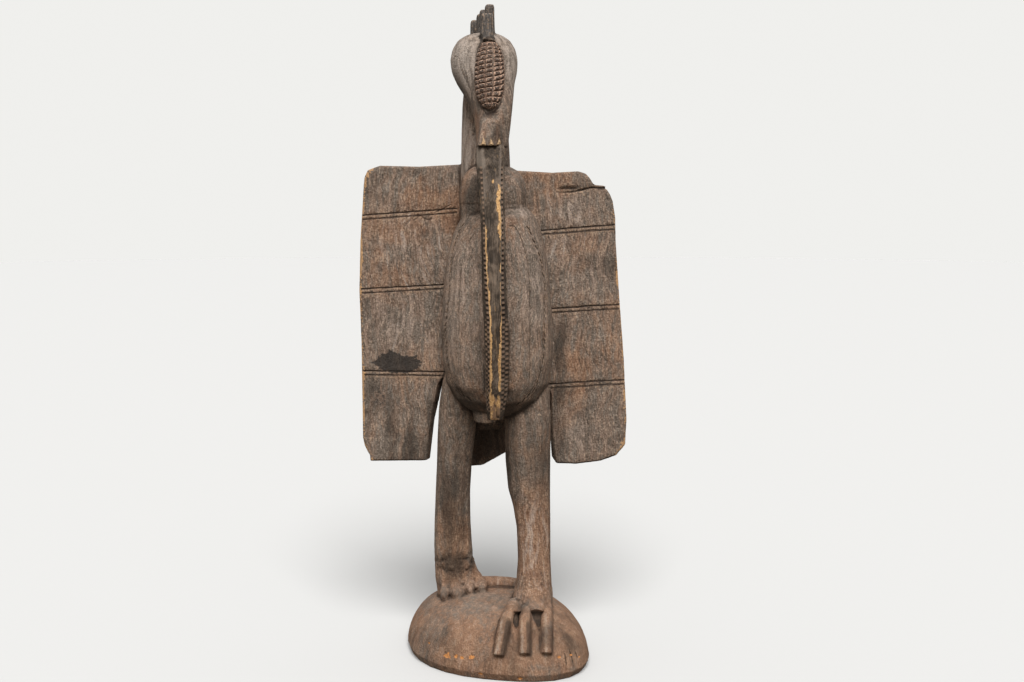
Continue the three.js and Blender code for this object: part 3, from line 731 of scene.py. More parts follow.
# Broad colour, laid on as dabs: x, y, z, width, height, strength
colourDabs = {
    "red": [
        (0, 0, 60, 460, 150, 1.0), (-41, -200, 1640, 8, 60, 0.7), (-1, -200, 1640, 9, 60, 0.6),
        (115, -100, 330, 90, 260, 0.95), (-60, 30, 225, 150, 60, 0.85), (-150, 60, 1480, 150, 120, 0.55),
        (170, 60, 1470, 130, 130, 0.5), (-130, 50, 1400, 60, 60, 0.8), (-60, -130, 1650, 40, 90, 0.7),
        (18, -120, 1690, 30, 120, 0.6), (-40, 20, 1940, 110, 50, 0.5), (80, -150, 1380, 70, 60, 0.6),
        (300, 55, 900, 160, 200, 0.5), (-250, 55, 1330, 140, 90, 0.5), (-300, 55, 1120, 120, 140, 0.4),
        (0, -150, 850, 110, 60, 0.5), (-70, 60, 1600, 60, 90, 0.7), (-120, 0, 400, 70, 120, 0.5),
        (300, 55, 1290, 90, 80, 0.4), (-105, 10, 1610, 60, 130, 0.75),
    ],
    # Many of these dabs are painted shade: under the belly and behind the beak's tip, on the upper legs and between
    # them, on the collar's left and on the wings beside the belly and legs. The others are dark patina and tone.
    "sootAndShade": [
        (-20, -210, 1640, 14, 50, 0.6), (-20, -215, 1630, 60, 60, 0.56), (-300, 55, 670, 150, 110, 0.64),
        (-340, 55, 810, 110, 70, 0.5), (-310, 55, 960, 130, 90, 0.36), (260, 55, 700, 150, 110, 0.38),
        (120, -60, 640, 90, 150, 0.78), (80, -60, 1470, 70, 50, 0.4), (-35, -180, 800, 60, 40, 0.95),
        (-130, -20, 480, 80, 170, 0.6), (-115, -40, 282, 90, 48, 1.0), (90, -230, 120, 130, 60, 0.55),
        (-90, -30, 450, 34, 160, 0.7), (190, -180, 90, 120, 80, 0.5), (0, -220, 60, 130, 70, 0.36),
        (-190, -120, 80, 110, 80, 0.36), (60, -60, 640, 60, 130, 0.6), (0, -110, 850, 120, 40, 0.55),
        (-70, -100, 1460, 50, 90, 0.55), (-130, 10, 600, 60, 260, 0.4), (70, -40, 700, 110, 130, 0.45),
        (-395, 55, 800, 45, 130, 0.62), (-300, 52, 790, 110, 130, 0.42), (330, 52, 1255, 50, 36, 0.6),
        (372, 52, 1240, 30, 50, 0.5), (-205, 60, 760, 24, 160, 0.8), (-60, 40, 620, 60, 160, 0.45),
        (0, 150, 660, 130, 130, 0.85), (0, -60, 815, 100, 50, 0.95), (-164, 0, 457, 20, 22, 0.7),
        (-415, 60, 1130, 20, 120, 0.5), (62, 20, 640, 40, 180, 0.6), (-30, -160, 1440, 80, 60, 0.45),
        (250, 55, 640, 130, 50, 0.3), (205, 55, 1010, 34, 130, 0.6), (-205, 55, 1230, 30, 130, 0.4),
        (350, 55, 1440, 50, 90, 0.4), (220, 55, 830, 50, 60, 0.5), (-410, 55, 1480, 30, 90, 0.4),
        (-110, 20, 780, 60, 60, 0.6), (120, 10, 780, 60, 60, 0.6), (-120, -40, 1480, 60, 80, 0.4),
        (-395, 55, 1320, 40, 60, 0.3), (395, 55, 700, 30, 100, 0.3),
    ],
    # The thin dab at height 1412 is a painted highlight on the belly's top edge
    "pale": [
        (-300, 52, 1330, 90, 80, 0.35), (250, 52, 1400, 90, 60, 0.35), (-150, -120, 1150, 120, 260, 0.3),
        (120, -150, 1200, 60, 200, 0.35), (-110, -60, 1840, 90, 110, 1.0), (50, -60, 1830, 70, 120, 0.75),
        (-60, -60, 1640, 50, 130, 0.5), (-105, 10, 1610, 60, 120, 0.8), (-20, -20, 1940, 120, 50, 0.8),
        (70, -100, 1412, 60, 26, 0.35), (100, -130, 420, 60, 160, 0.35), (-300, 52, 1060, 90, 90, 0.3),
        (270, 52, 700, 70, 70, 0.3), (280, 52, 1180, 80, 120, 0.2), (0, 0, 215, 160, 20, 0.2),
        (140, -130, 300, 20, 140, 0.25),
    ],
}
for name, spots in colourDabs.items():
    dab(name, spots)
onFlank = onBelly * ramp(np.abs(normals[:, 0]), 0.4, 0.85) * above(0.88, 0.98) * (points[:, 1] < 0.02)
mark("sootAndShade", 0.8 * ramp(-normals[:, 2], 0.05, 0.75) * above(0.25, 0.3))  # painted shade on the undersides


def stain(outline, blur, strength, rough):
    # A burn with a ragged border: how far a point lies inside the outline, in x and z
    corners = np.array(outline, float) * mm
    x, z = points[:, 0], points[:, 2]
    inside = np.zeros(len(points), bool)
    gap = np.full(len(points), 9.0)
    for (ax, az), (bx, bz) in zip(corners, np.roll(corners, -1, 0)):
        crosses = ((az > z) != (bz > z)) & (x < (bx - ax) * (z - az) / (bz - az + 1e-12) + ax)
        inside ^= crosses
        share = np.clip(((x - ax) * (bx - ax) + (z - az) * (bz - az)) / ((bx - ax) ** 2 + (bz - az) ** 2), 0, 1)
        gap = np.minimum(gap, np.hypot(x - ax - share * (bx - ax), z - az - share * (bz - az)))
    inward = np.where(inside, gap, -gap) / mm
    inward += rough * softNoise(points, (0.008, 0.02, 0.005), 31) + rough * softNoise(points, (0.02, 0.03, 0.01), 32)
    mark("burn", strength * onBoards * ramp(inward, -blur, blur))


burns = [  # outline in x and z, blur, strength, raggedness
    ([(-392, 930), (-362, 957), (-330, 968), (-296, 953), (-258, 956), (-240, 936), (-229, 918), (-263, 905),
      (-318, 896), (-372, 912)], 5, 1.0, 7),
    ([(-403, 870), (-340, 868), (-320, 812), (-350, 770), (-402, 790)], 26, 0.42, 14),
]
for burn in burns:
    stain(*burn)
print("colours laid")

# Masks that follow the form: proud edges and deep corners
skinNormals = readVectors(mesh.vertices, "normal")
near = ((points - relaxed(points, 6)) * skinNormals).sum(1) / mm
broad = ((points - relaxed(points, 70)) * skinNormals).sum(1) / mm
writePoints(mesh, points)
marks["edge"] = softened(np.clip(ramp(near, 0.12, 0.6) + 0.4 * ramp(broad, 2, 6), 0, 1), 1)
outer = ramp(np.abs(points[:, 0]), 0.36, 0.39)
onRim = onEdges * outer * ramp(broad, 0.6, 1.6) * (points[:, 1] < 0.075)
marks["tan"] = softened(onRim * (0.5 + 0.9 * nibble), 1)
# The painted highlights along the score lines, beside the leaf cuts and on the toe ridges join the edge mask
mark("edge", marks.pop("lit"))
# The cavity mask is painted shade in hollows, deep corners and along creases
marks["cavity"] = softened(np.clip(ramp(-near, 0.08, 0.6) + 0.7 * ramp(-broad, 0.6, 3.2) + crease, 0, 1), 1)
marks["cavity"] *= 1 - 0.75 * onFlank
marks["cavity"] *= (1 - 0.35 * within((20, -160, 1392), (110, -30, 1421))) * np.where(quiet, 1, 0.3)
marks["calm"] = np.maximum(1 - above(0.2, 0.24), 0.5 * above(1.68, 1.74))  # a smoother skin
for name, values in marks.items():
    mesh.attributes.new(name, "FLOAT", "POINT").data.foreach_set("value", values.astype(np.float32))

detail = softened(np.clip(marks["cut"] + 0.6 * marks["edge"] + 0.6 * marks["bare"] + 0.5 * marks["burn"], 0, 1), 1)
weighGroup("spare", 1 - 0.9 * detail)
thin = bird.modifiers.new("fewer faces", "DECIMATE")
thin.ratio = min(1.0, blank["triangles"] / sum(len(face.vertices) - 2 for face in mesh.polygons))
thin.vertex_group = "spare"
thin.vertex_group_factor = blank["detailGuard"]
bakeModifiers(bird)
bird.vertex_groups.clear()
mesh = bird.data
mesh.polygons.foreach_set("use_smooth", np.ones(len(mesh.polygons), bool))
mesh.update()
print("thinned", len(mesh.polygons))

# The long beak: a squared bar whose corners are measured at each height, in mm:
# height, left side, left edge, right edge, right side, front, depth of the bead faces left and right
beak = {
    "stations": [
        (796, -33, -26, 0, 11, -222, 10, 12),
        (806, -35, -28, 1, 13, -229, 11, 15),
        (862, -37, -30, 4, 22, -252, 12, 24),
        (924, -39, -30, 4, 27, -270, 14, 30),
        (984, -41, -29, 4, 28, -283, 15, 30),
        (1043, -43, -30, 4, 27, -291, 15, 29),
        (1102, -45, -31, 5, 25, -295, 15, 26),
        (1160, -48, -34, 4, 21, -295, 14, 19),
        (1216, -50, -38, 4, 18, -294, 13, 14),
        (1301, -51, -42, 6, 17, -287, 12, 12),
        (1386, -53, -42, 6, 15, -273, 12, 12),
        (1443, -56, -44, 6, 15, -262, 12, 12),
        (1500, -60, -46, 6, 16, -242, 12, 12),
        (1543, -64, -47, 7, 18, -225, 12, 12),
        (1572, -64, -49, 8, 20, -210, 12, 12),
        (1596, -62, -50, 8, 18, -196, 12, 12),
        (1625, -48, -42, 2, 10, -172, 12, 12),
    ],
    "back": 62,  # how far the bar goes in behind its front
    "sides": (6, 10, 16, 10, 6, 4),  # faces on each side of the section
    "rings": 440,
    "beadPitch": 14.2,
    "beadDepth": 5,
    "beadBottom": 822,
    "beadTop": 1548,
    "doubleBelow": 1120,
    "worn": [  # lowest and highest, from and to across the front (0 is its left edge), strength
        (1322, 1490, 0.86, 1.0, 0.9), (1405, 1470, 0.72, 0.97, 0.95), (1340, 1372, 0.8, 1.0, 1.0),
        (1232, 1330, 0.88, 1.03, 0.85), (1030, 1215, 0.9, 1.03, 0.8), (886, 1036, 0.78, 1.03, 1.0),
        (1190, 1378, -0.05, 0.1, 0.75), (1275, 1345, -0.05, 0.15, 0.95), (1060, 1200, -0.05, 0.14, 0.8),
        (838, 1064, -0.05, 0.2, 0.85), (1112, 1268, 0.43, 0.5, 0.6), (1224, 1240, 0.46, 0.56, 0.8),
        (1374, 1384, 0.36, 0.5, 0.5), (1486, 1504, 0.5, 0.62, 0.55), (790, 880, -0.05, 1.03, 0.42),
        (838, 884, 0.1, 0.34, 0.8), (1440, 1486, 0.86, 1.02, 0.7),
    ],
    "lip": (1536, 1594),  # the left edge is paler here
    "hole": (-26, 1535, 3.8, 4.4),  # x, z and half sizes
    "splitDepth": 2.6,
    "holeDepth": 4,
}


def beadRows(height, shares, shake):
    # Beads on the right and the left face, one row each above and two below, and the notches between them
    bottom, double = beak["beadBottom"], ramp(beak["doubleBelow"] - height, 0, 40)
    span = ramp(height, bottom, bottom + 6) * ramp(beak["beadTop"] - height, 0, 20)
    bead, notch = np.zeros(len(height)), np.zeros(len(height))
    for isLeft, share in enumerate(shares):  # 0 at the back of the face, 1 at its edge
        on = (share > 0) & (share < 1)
        start = double * (0.42 if isLeft else 0.5) + (1 - double) * 0.48
        first = on * ramp(share, start - 0.06, start + 0.1) * ramp(0.93 - share, -0.04, 0.08)
        second = on * double * ramp(share, 0.02, 0.14) * ramp(start - 0.04 - share, -0.04, 0.1)
        for row, half in ((first, 0.0), (second, 0.5)):
            step = height / beak["beadPitch"] + half + shake
            phase = np.abs(step % 1 - 0.5) * 2
            bits = np.stack([np.floor(step), step * 0 + 9 * half, step * 0 + 5 * isLeft], 1)
            deep = span * (1 - 0.8 * isLeft * ramp(height, 1240, 1330)) * (1 - 0.35 * double)
            deep = deep * (0.72 + 0.4 * softNoise(bits, (1, 1, 1), 54))
            notch = np.maximum(notch, row * deep * ramp(0.4 + 0.35 * shake - phase, -0.08, 0.22))
            bead = np.maximum(bead, row * span * ramp(phase, 0.5, 0.7))
        parting = on * double * np.exp(-(((share - start + 0.03) / 0.07) ** 2))
        notch = np.maximum(notch, 0.35 * span * parting)
    return bead, notch


def wornPatches(height, across):
    worn = np.zeros(len(height))
    for bottom, top, start, stop, strength in beak["worn"]:
        patch = ramp(height, bottom - 4, bottom + 10) * ramp(top - height, -4, 10)
        patch = patch * ramp(across, start - 0.02, start + 0.05) * ramp(stop - across, -0.02, 0.05)
        worn = np.maximum(worn, strength * patch)
    return worn


def beakShape(s, t):
    low, high = beak["stations"][0][0], beak["stations"][-1][0]
    height = low + t * (high - low)
    smoothed = curve(beak["stations"], 10)
    left, leftEdge, rightEdge, right, face, leftDeep, rightDeep = (
        np.interp(height, smoothed[:, 0], smoothed[:, k]) for k in range(1, 8)
    )
    back = face + beak["back"] * (0.75 + 0.25 * ramp(height, 796, 900))
    corners = [
        (right, back), (right, face + rightDeep), (rightEdge, face), (leftEdge, face), (left, face + leftDeep),
        (left, back), (right, back),
    ]
    turns = np.cumsum((0,) + beak["sides"]) / sum(beak["sides"])
    u, v = np.zeros(len(s)), np.zeros(len(s))
    for k in range(6):
        on = (s >= turns[k] - 1e-6) & (s <= turns[k + 1] + 1e-6)
        share = (s[on] - turns[k]) / (turns[k + 1] - turns[k])
        u[on] = corners[k][0][on] * (1 - share) + corners[k + 1][0][on] * share
        v[on] = corners[k][1][on] * (1 - share) + corners[k + 1][1][on] * share
    rightShare = (s - turns[1]) / (turns[2] - turns[1])
    leftShare = (turns[4] - s) / (turns[4] - turns[3])
    frontShare = (turns[3] - s) / (turns[3] - turns[2])
    shake = 0.3 * softNoise(np.stack([s, s, height * mm], 1), (9, 9, 0.05), 41)
    bead, notch = beadRows(height, (rightShare, leftShare), shake)
    place3 = np.stack([u * mm, v * mm, height * mm], 1)
    onFront = (frontShare >= -1e-4) & (frontShare <= 1.0001)
    wander = 0.05 * softNoise(place3, (0.5, 0.5, 0.016), 42) + 0.05 * softNoise(place3, (0.5, 0.5, 0.006), 43)
    worn = wornPatches(height, frontShare + wander)
    nearEdge = np.exp(-((np.minimum(np.abs(frontShare), np.abs(1 - frontShare)) / 0.07) ** 2))
    lip = ramp(height, beak["lip"][0] - 12, beak["lip"][0] + 6) * ramp(beak["lip"][1] - height, -8, 8)
    lip = lip * ramp(0.16 - frontShare, 0, 0.06) * ramp(leftShare, -0.2, 0.3)
    # Cut and wear, all measured towards the middle of the section
    dish = 1.6 * np.sin(np.clip(frontShare, 0, 1) * math.pi) * onFront * ramp(height, 830, 900)
    ripple = 0.7 * softNoise(place3, (0.007, 0.5, 0.12), 44) * onFront
    nibbled = nearEdge * (0.4 + 1.6 * ramp(softNoise(place3, (0.02, 0.02, 0.02), 45), -0.1, 0.7))
    split = ramp(880 - height, 0, 60) * onFront
    split = split * (1 - ramp(np.abs(softNoise(place3, (0.0065, 0.5, 0.045), 46)), 0.0, 0.22))
    holeX, holeZ, holeWide, holeTall = beak["hole"]
    hole = np.exp(-(((u - holeX) / holeWide) ** 2 + ((height - holeZ) / holeTall) ** 2)) * onFront
    cut = beak["beadDepth"] * notch + dish + ripple + nibbled + 1.0 * worn
    cut += beak["splitDepth"] * split + beak["holeDepth"] * hole
    cut += 0.5 * softNoise(place3, (0.012, 0.012, 0.03), 47)
    inU, inV = (left + right) / 2 - u, face + 30 - v
    long = np.maximum(np.hypot(inU, inV), 1)
    u, v = u + inU / long * cut, v + inV / long * cut
    ends = 3 * softNoise(np.stack([u * mm, v * mm, v * mm], 1), (0.009, 0.02, 0.02), 48)
    height = height + ends * ramp(840 - height, 20, 44)
    vee = 0.5 - 0.4 * ramp(height, 1440, 1590)
    slope = ramp(height, 1400, 1500) * onFront * ramp(vee - np.minimum(frontShare, 1 - frontShare), -0.15, 0.3)
    masks = {
        "slope": slope,
        "bareBeak": np.clip(worn, 0, 1),
        "tip": ramp(890 - height, 0, 50) * onFront,
        "lip": np.clip(lip, 0, 1),
        "bead": bead,
        # cavity: painted shade in the notches, the split and the hole
        "cavity": np.clip(0.85 * notch + split + hole, 0, 1),
        "arris": nearEdge * onFront,
    }
    return np.stack([u, v, height], 1) * mm, masks


longBeak = wrappedSkin("long_beak", sum(beak["sides"]), beak["rings"], beakShape)
print("beak made", len(longBeak.data.polygons))


def cobShape(s, t):
    # Rows and columns of kernels, each a rounded cushion between cuts
    frontShare = 0.86  # of the way round the section
    spread = cob["spread"]
    isFront = s <= frontShare + 1e-6
    column = np.where(isFront, s / frontShare, 1.0)
    angle = (column - 0.5) * spread
    rest = (s - frontShare) / (1 - frontShare)
    angle = np.where(isFront, angle, spread / 2 + rest * (2 * math.pi - spread))
    away = np.abs(t * 2 - 1) * np.where(t > 0.5, 0.91, 1)  # the head end is blunter
    halfWide = np.maximum((1 - away**2.4) ** 0.42 * cob["halfWidth"], 5)
    relief = np.maximum((1 - away**3.2) ** 0.5, 0.22) * cob["relief"]
    offset = (column - 0.5) * np.cos((t - 0.5) * math.pi)
    where = np.stack([angle * 0.03, t * 0.2, t * 0], 1)
    row = t * cob["rows"] + offset * cob["rowRise"] - 3.4 * offset**2 + 0.1 * softNoise(where, (0.016, 0.02, 1), 51)
    lane = column * cob["columns"] + 0.1 * softNoise(where, (0.05, 0.018, 1), 52)
    rowPitch, lanePitch = cobLength / mm / cob["rows"], cob["halfWidth"] * 2.3 / cob["columns"]
    rowPhase = row - np.floor(row)
    toRow = np.minimum(rowPhase, 1 - rowPhase) * rowPitch
    toLane = np.abs(lane - np.round(lane)) * lanePitch
    size = 1 + 0.25 * softNoise(np.stack([np.floor(row), np.floor(lane), row * 0], 1), (1, 1, 1), 53)
    rowCut = np.clip(1 - toRow / 2.3, 0, 1) ** 0.7
    laneCut = np.clip(1 - toLane / 3.0, 0, 1) ** 0.8
    laneShare = lane - np.floor(lane)
    crown = np.clip(toRow / (rowPitch / 2), 0, 1) * np.clip(toLane / (lanePitch / 2), 0, 1)
    middle = np.sin(math.pi * np.clip(t, 0, 1)) ** 0.3
    cut = np.maximum(rowCut, laneCut) * cob["cutDepth"] * size
    cut += 1.5 * (1 - crown**0.5) + 1.2 * ramp(0.5 - rowPhase, 0.0, 0.5)
    across, outward = np.sin(angle) * halfWide, np.cos(angle) * relief
    kept = 1 - isFront * middle * cut / np.maximum(np.hypot(across, outward), 1)
    places = cobFoot + np.outer(t * cobLength, cobAlong) + np.outer(across * kept * mm, cobSide)
    places += np.outer(outward * kept * mm, cobOutward)
    masks = {
        "cob": np.ones(len(s)),
        "kernel": isFront * ramp(np.minimum(toRow, toLane), 2.0, 4.2),
        # cut paints shade into the row cuts; edge lights the top edge and one side of each kernel, a painted highlight
        # over its worn arris
        "cut": isFront * middle * np.clip(rowCut * 1.1, 0, 1) * ramp(toLane, 0.8, 2.2),
        "edge": isFront * np.maximum(ramp(rowPhase, 0.6, 0.8) * ramp(1 - rowPhase, 0.08, 0.2) * ramp(toLane, 1.5, 3),
                                     0.8 * ramp(laneShare, 0.72, 0.8) * ramp(1 - laneShare, 0.05, 0.12)),
        "pale": isFront * (1 - ramp(toLane, 0.6, 2.6)),
    }
    return places, masks


cobPiece = wrappedSkin("cob", 70, 156, cobShape)
print("cob made", len(cobPiece.data.polygons))

# Shading: small helpers, then the effects that both finishes share


def place(tree, kind, inputs=None, **settings):
    made = tree.nodes.new(kind)
    for name, value in settings.items():
        setattr(made, name, value)
    for name, value in (inputs or {}).items():
        if isinstance(value, bpy.types.NodeSocket):
            tree.links.new(value, made.inputs[name])
        else:
            made.inputs[name].default_value = value
    return made


def sums(tree, operation, *values):
    return place(tree, "ShaderNodeMath", dict(enumerate(values)), operation=operation).outputs[0]


def weighed(tree, total, *shares):
    for value, share in shares:
        total = sums(tree, "MULTIPLY_ADD", value, share, total)
    return total


def vectors(tree, operation, first, second, slot=1):
    return place(tree, "ShaderNodeVectorMath", {0: first, slot: second}, operation=operation).outputs[0]


def blended(tree, share, first, second):
    return place(tree, "ShaderNodeMix", {0: share, 6: first, 7: second}, data_type="RGBA").outputs[2]


def band(tree, value, low, high):
    limits = {0: value, 1: low, 2: high, 3: 0.0, 4: 1.0}
    return place(tree, "ShaderNodeMapRange", limits, interpolation_type="SMOOTHSTEP").outputs[0]


def noise(tree, vector, scale, detail, roughness=0.5, distortion=0.0):
    values = {"Vector": vector, "Scale": scale, "Detail": detail, "Roughness": roughness, "Distortion": distortion}
    return place(tree, "ShaderNodeTexNoise", values).outputs


def maskOf(tree, name):
    return place(tree, "ShaderNodeAttribute", attribute_name=name, attribute_type="GEOMETRY").outputs["Fac"]


def covered(tree, base, mask, strength, over):
    return blended(tree, sums(tree, "MULTIPLY", mask, strength), base, over)


def toned(tree, tone, stops):
    made = place(tree, "ShaderNodeValToRGB", {0: tone})
    ends = made.color_ramp.elements
    while len(ends) < len(stops):
        ends.new(0.5)
    for end, (at, shade) in zip(ends, stops):
        end.position = at
        end.color = shade
    return made.outputs[0]


def startGroup(name, inputs, outputs):
    group = bpy.data.node_groups.new(name, "ShaderNodeTree")
    for label, value in inputs.items():
        kind = "NodeSocketVector" if value is None else "NodeSocketFloat"
        socket = group.interface.new_socket(label, in_out="INPUT", socket_type=kind)
        if value is not None:
            socket.default_value = value
    for label in outputs:
        group.interface.new_socket(label, in_out="OUTPUT", socket_type="NodeSocketFloat")
    return group, group.nodes.new("NodeGroupInput").outputs, group.nodes.new("NodeGroupOutput").inputs


def makeGrain():
    inputs = {"Vector": None, "Width": 0.004, "Length": 0.09, "Wander": 0.006}
    group, given, out = startGroup("upright grain", inputs, ("Fibre", "Streak", "Pore"))
    sway = vectors(group, "SUBTRACT", noise(group, given["Vector"], 7.0, 2.0)["Color"], (0.5, 0.5, 0.5))
    bent = vectors(group, "ADD", given["Vector"], vectors(group, "SCALE", sway, given["Wander"], "Scale"))
    across = sums(group, "DIVIDE", 1.0, given["Width"])
    along = sums(group, "DIVIDE", 1.0, given["Length"])
    size = place(group, "ShaderNodeCombineXYZ", {"X": across, "Y": across, "Z": along}).outputs[0]
    grained = vectors(group, "MULTIPLY", bent, size)
    for label, scale, detail, roughness, low, high in (
        ("Fibre", 1.0, 3.0, 0.6, 0.28, 0.72), ("Streak", 0.22, 3.0, 0.55, 0.3, 0.7), ("Pore", 1.9, 2.0, 0.5, 0.44, 0.32)
    ):
        group.links.new(band(group, noise(group, grained, scale, detail, roughness)[0], low, high), out[label])
    return group


def makeRagged():
    inputs = {"Mask": 0.0, "Breakup": 0.5, "Amount": 0.6, "Softness": 0.2}
    group, given, out = startGroup("ragged mask", inputs, ("Mask",))
    centred = sums(group, "SUBTRACT", given["Breakup"], 0.5)
    torn = sums(group, "MULTIPLY_ADD", centred, given["Amount"], given["Mask"])
    low, high = (sums(group, how, 0.5, given["Softness"]) for how in ("SUBTRACT", "ADD"))
    group.links.new(band(group, torn, low, high), out["Mask"])
    return group


def makeMottle():
    group, given, out = startGroup("mottle", {"Vector": None, "Size": 0.05}, ("Cloud", "Speck"))
    scale = sums(group, "DIVIDE", 1.0, given["Size"])
    cloud = noise(group, given["Vector"], scale, 5.0, 0.62, 0.6)[0]
    speck = noise(group, given["Vector"], sums(group, "MULTIPLY", scale, 9.0), 3.0)[0]
    group.links.new(band(group, cloud, 0.3, 0.7), out["Cloud"])
    group.links.new(band(group, speck, 0.35, 0.68), out["Speck"])
    return group


grainGroup, raggedGroup, mottleGroup = makeGrain(), makeRagged(), makeMottle()


def grain(tree, vector, width, length, wander):
    given = {"Vector": vector, "Width": width, "Length": length, "Wander": wander}
    return place(tree, "ShaderNodeGroup", given, node_tree=grainGroup).outputs


def mottle(tree, vector, size):
    return place(tree, "ShaderNodeGroup", {"Vector": vector, "Size": size}, node_tree=mottleGroup).outputs


def ragged(tree, mask, breakup, amount, softness):
    given = {"Mask": mask, "Breakup": breakup, "Amount": amount, "Softness": softness}
    return place(tree, "ShaderNodeGroup", given, node_tree=raggedGroup).outputs[0]


def layered(tree, base, *layers):
    # Each layer: mask, what breaks it up, how much and how softly, strength, colour
    for name, breakup, amount, softness, strength, over in layers:
        mask = maskOf(tree, name)
        if breakup is not None:
            mask = ragged(tree, mask, breakup, amount, softness)
        base = covered(tree, base, mask, strength, over)
    return base


def startMaterial(name):
    material = bpy.data.materials.new(name)
    material.use_nodes = True
    return material, material.node_tree, place(material.node_tree, "ShaderNodeTexCoord").outputs["Object"]


def finishMaterial(tree, base, rough, relief, values):
    shader = tree.nodes["Principled BSDF"]
    bump = place(tree, "ShaderNodeBump", {"Strength": values["bump"], "Distance": values["relief"], "Height": relief})
    for name, value in (("Base Color", base), ("Roughness", rough), ("Normal", bump.outputs[0])):
        tree.links.new(value, shader.inputs[name])
    shader.inputs["Specular IOR Level"].default_value = values["sheen"]


def colour(red, green, blue):
    return (red, green, blue, 1)


agedWood = {
    "grey": [(0.12, colour(0.09, 0.067, 0.051)), (0.5, colour(0.182, 0.144, 0.114)), (0.88, colour(0.33, 0.28, 0.235))],
    "brown": [(0.12, colour(0.115, 0.056, 0.033)), (0.5, colour(0.23, 0.13, 0.08)), (0.88, colour(0.37, 0.235, 0.15))],
    "paleDustAndHighlight": colour(0.46, 0.395, 0.34),
    "fleck": colour(0.46, 0.31, 0.2),
    # worn: the light colour of worn edges, also laid on the painted highlights that join the edge mask
    "worn": colour(0.36, 0.24, 0.155),
    "tan": colour(0.52, 0.3, 0.14),
    "broken": colour(0.6, 0.42, 0.25),
    "chipped": colour(0.52, 0.22, 0.07),
    "crevice": colour(0.022, 0.014, 0.01),
    "sootAndShade": colour(0.034, 0.026, 0.02),
    "burn": colour(0.03, 0.026, 0.023),
    "comb": [(0.0, colour(0.04, 0.036, 0.033)), (0.5, colour(0.1, 0.092, 0.085)), (1.0, colour(0.26, 0.235, 0.215))],
    "kernel": [(0.0, colour(0.035, 0.025, 0.02)), (0.5, colour(0.09, 0.07, 0.058)), (1.0, colour(0.2, 0.16, 0.13))],
    "kernelEdge": colour(0.52, 0.34, 0.24),
    "ridge": colour(0.16, 0.094, 0.064),
    "bump": 0.75,
    "relief": 0.0022,
    "sheen": 0.16,
}


def makeAgedWood(values):
    material, tree, where = startMaterial("aged_wood")
    fine, wide = grain(tree, where, 0.0034, 0.02, 0.012), grain(tree, where, 0.013, 0.15, 0.06)
    patch, large = mottle(tree, where, 0.05), mottle(tree, where, 0.2)
    calm, cobMask, edge = maskOf(tree, "calm"), maskOf(tree, "cob"), maskOf(tree, "edge")
    tone = weighed(
        tree, -0.06, (fine["Fibre"], weighed(tree, 0.4, (calm, -0.16))), (wide["Fibre"], 0.15), (patch["Cloud"], 0.21),
        (large["Cloud"], 0.14), (calm, 0.15), (patch["Speck"], weighed(tree, 0.24, (calm, -0.16))),
    )
    warmth = ragged(tree, maskOf(tree, "red"), large["Cloud"], 0.9, 0.45)
    warmth = weighed(tree, -0.22, (warmth, 1.0), (wide["Fibre"], 0.9))
    base = blended(tree, warmth, toned(tree, tone, values["grey"]), toned(tree, tone, values["brown"]))
    flecks = band(tree, sums(tree, "MULTIPLY", patch["Speck"], fine["Fibre"]), 0.42, 0.85)
    base = covered(tree, base, flecks, weighed(tree, 0.3, (calm, -0.2)), values["fleck"])
    base = layered(tree, base, ("pale", wide["Fibre"], 0.7, 0.4, 0.66, values["paleDustAndHighlight"]))
    base = covered(tree, base, fine["Pore"], weighed(tree, 0.4, (calm, -0.25)), values["crevice"])
    combTone = toned(tree, weighed(tree, 0.0, (edge, 0.5), (tone, 0.6)), values["comb"])
    kernelTone = toned(tree, patch["Speck"], values["kernel"])
    base = layered(
        tree, base, ("comb", None, 0, 0, 0.85, combTone), ("cob", None, 0, 0, 0.9, values["ridge"]),
        ("kernel", None, 0, 0, 0.85, kernelTone),
    )
    # Worn edges and painted highlights share one light colour
    worn = ragged(tree, edge, patch["Speck"], 0.9, 0.3)
    wornAndLitTone = blended(tree, cobMask, values["worn"], values["kernelEdge"])
    base = covered(tree, base, worn, weighed(tree, 0.5, (cobMask, 0.3)), wornAndLitTone)
    brokenTone = blended(tree, band(tree, calm, 0.6, 0.9), values["broken"], values["chipped"])
    # Painted shade: the cavity mask darkens hollows and creases, the soot and shade mask darkens undersides and shaded
    # places as well as dark patina, and the cut mask darkens grooves and the shadows under overhangs
    base = layered(
        tree, base,
        ("cavity", fine["Fibre"], 0.4, 0.35, 0.72, values["crevice"]),
        ("sootAndShade", wide["Streak"], 0.6, 0.42, 0.8, values["sootAndShade"]),
        ("burn", patch["Speck"], 0.5, 0.22, 0.9, values["burn"]),
        ("tan", patch["Speck"], 0.5, 0.15, 0.75, values["tan"]),
        ("cut", None, 0, 0, 0.85, values["crevice"]),
        ("bare", fine["Fibre"], 0.6, 0.2, 0.9, brokenTone),
    )
    rough = weighed(tree, 0.7, (fine["Fibre"], 0.12), (worn, -0.12))
    relief = weighed(tree, fine["Fibre"], (fine["Pore"], -0.8), (wide["Fibre"], 0.8), (patch["Speck"], 0.6))
    finishMaterial(tree, base, rough, relief, values)
    return material


blackBeak = {
    "paint": [
        (0.1, colour(0.012, 0.009, 0.006)), (0.5, colour(0.047, 0.034, 0.024)), (0.9, colour(0.16, 0.118, 0.086)),
    ],
    "bare": [(0.0, colour(0.22, 0.11, 0.045)), (0.5, colour(0.5, 0.29, 0.12)), (1.0, colour(0.72, 0.47, 0.23))],
    "tip": colour(0.28, 0.17, 0.1),
    "lip": colour(0.15, 0.12, 0.095),
    "slope": colour(0.15, 0.115, 0.09),
    "crevice": colour(0.018, 0.012, 0.009),
    "bead": colour(0.25, 0.16, 0.108),
    "bump": 0.5,
    "relief": 0.0014,
    "sheen": 0.18,
}


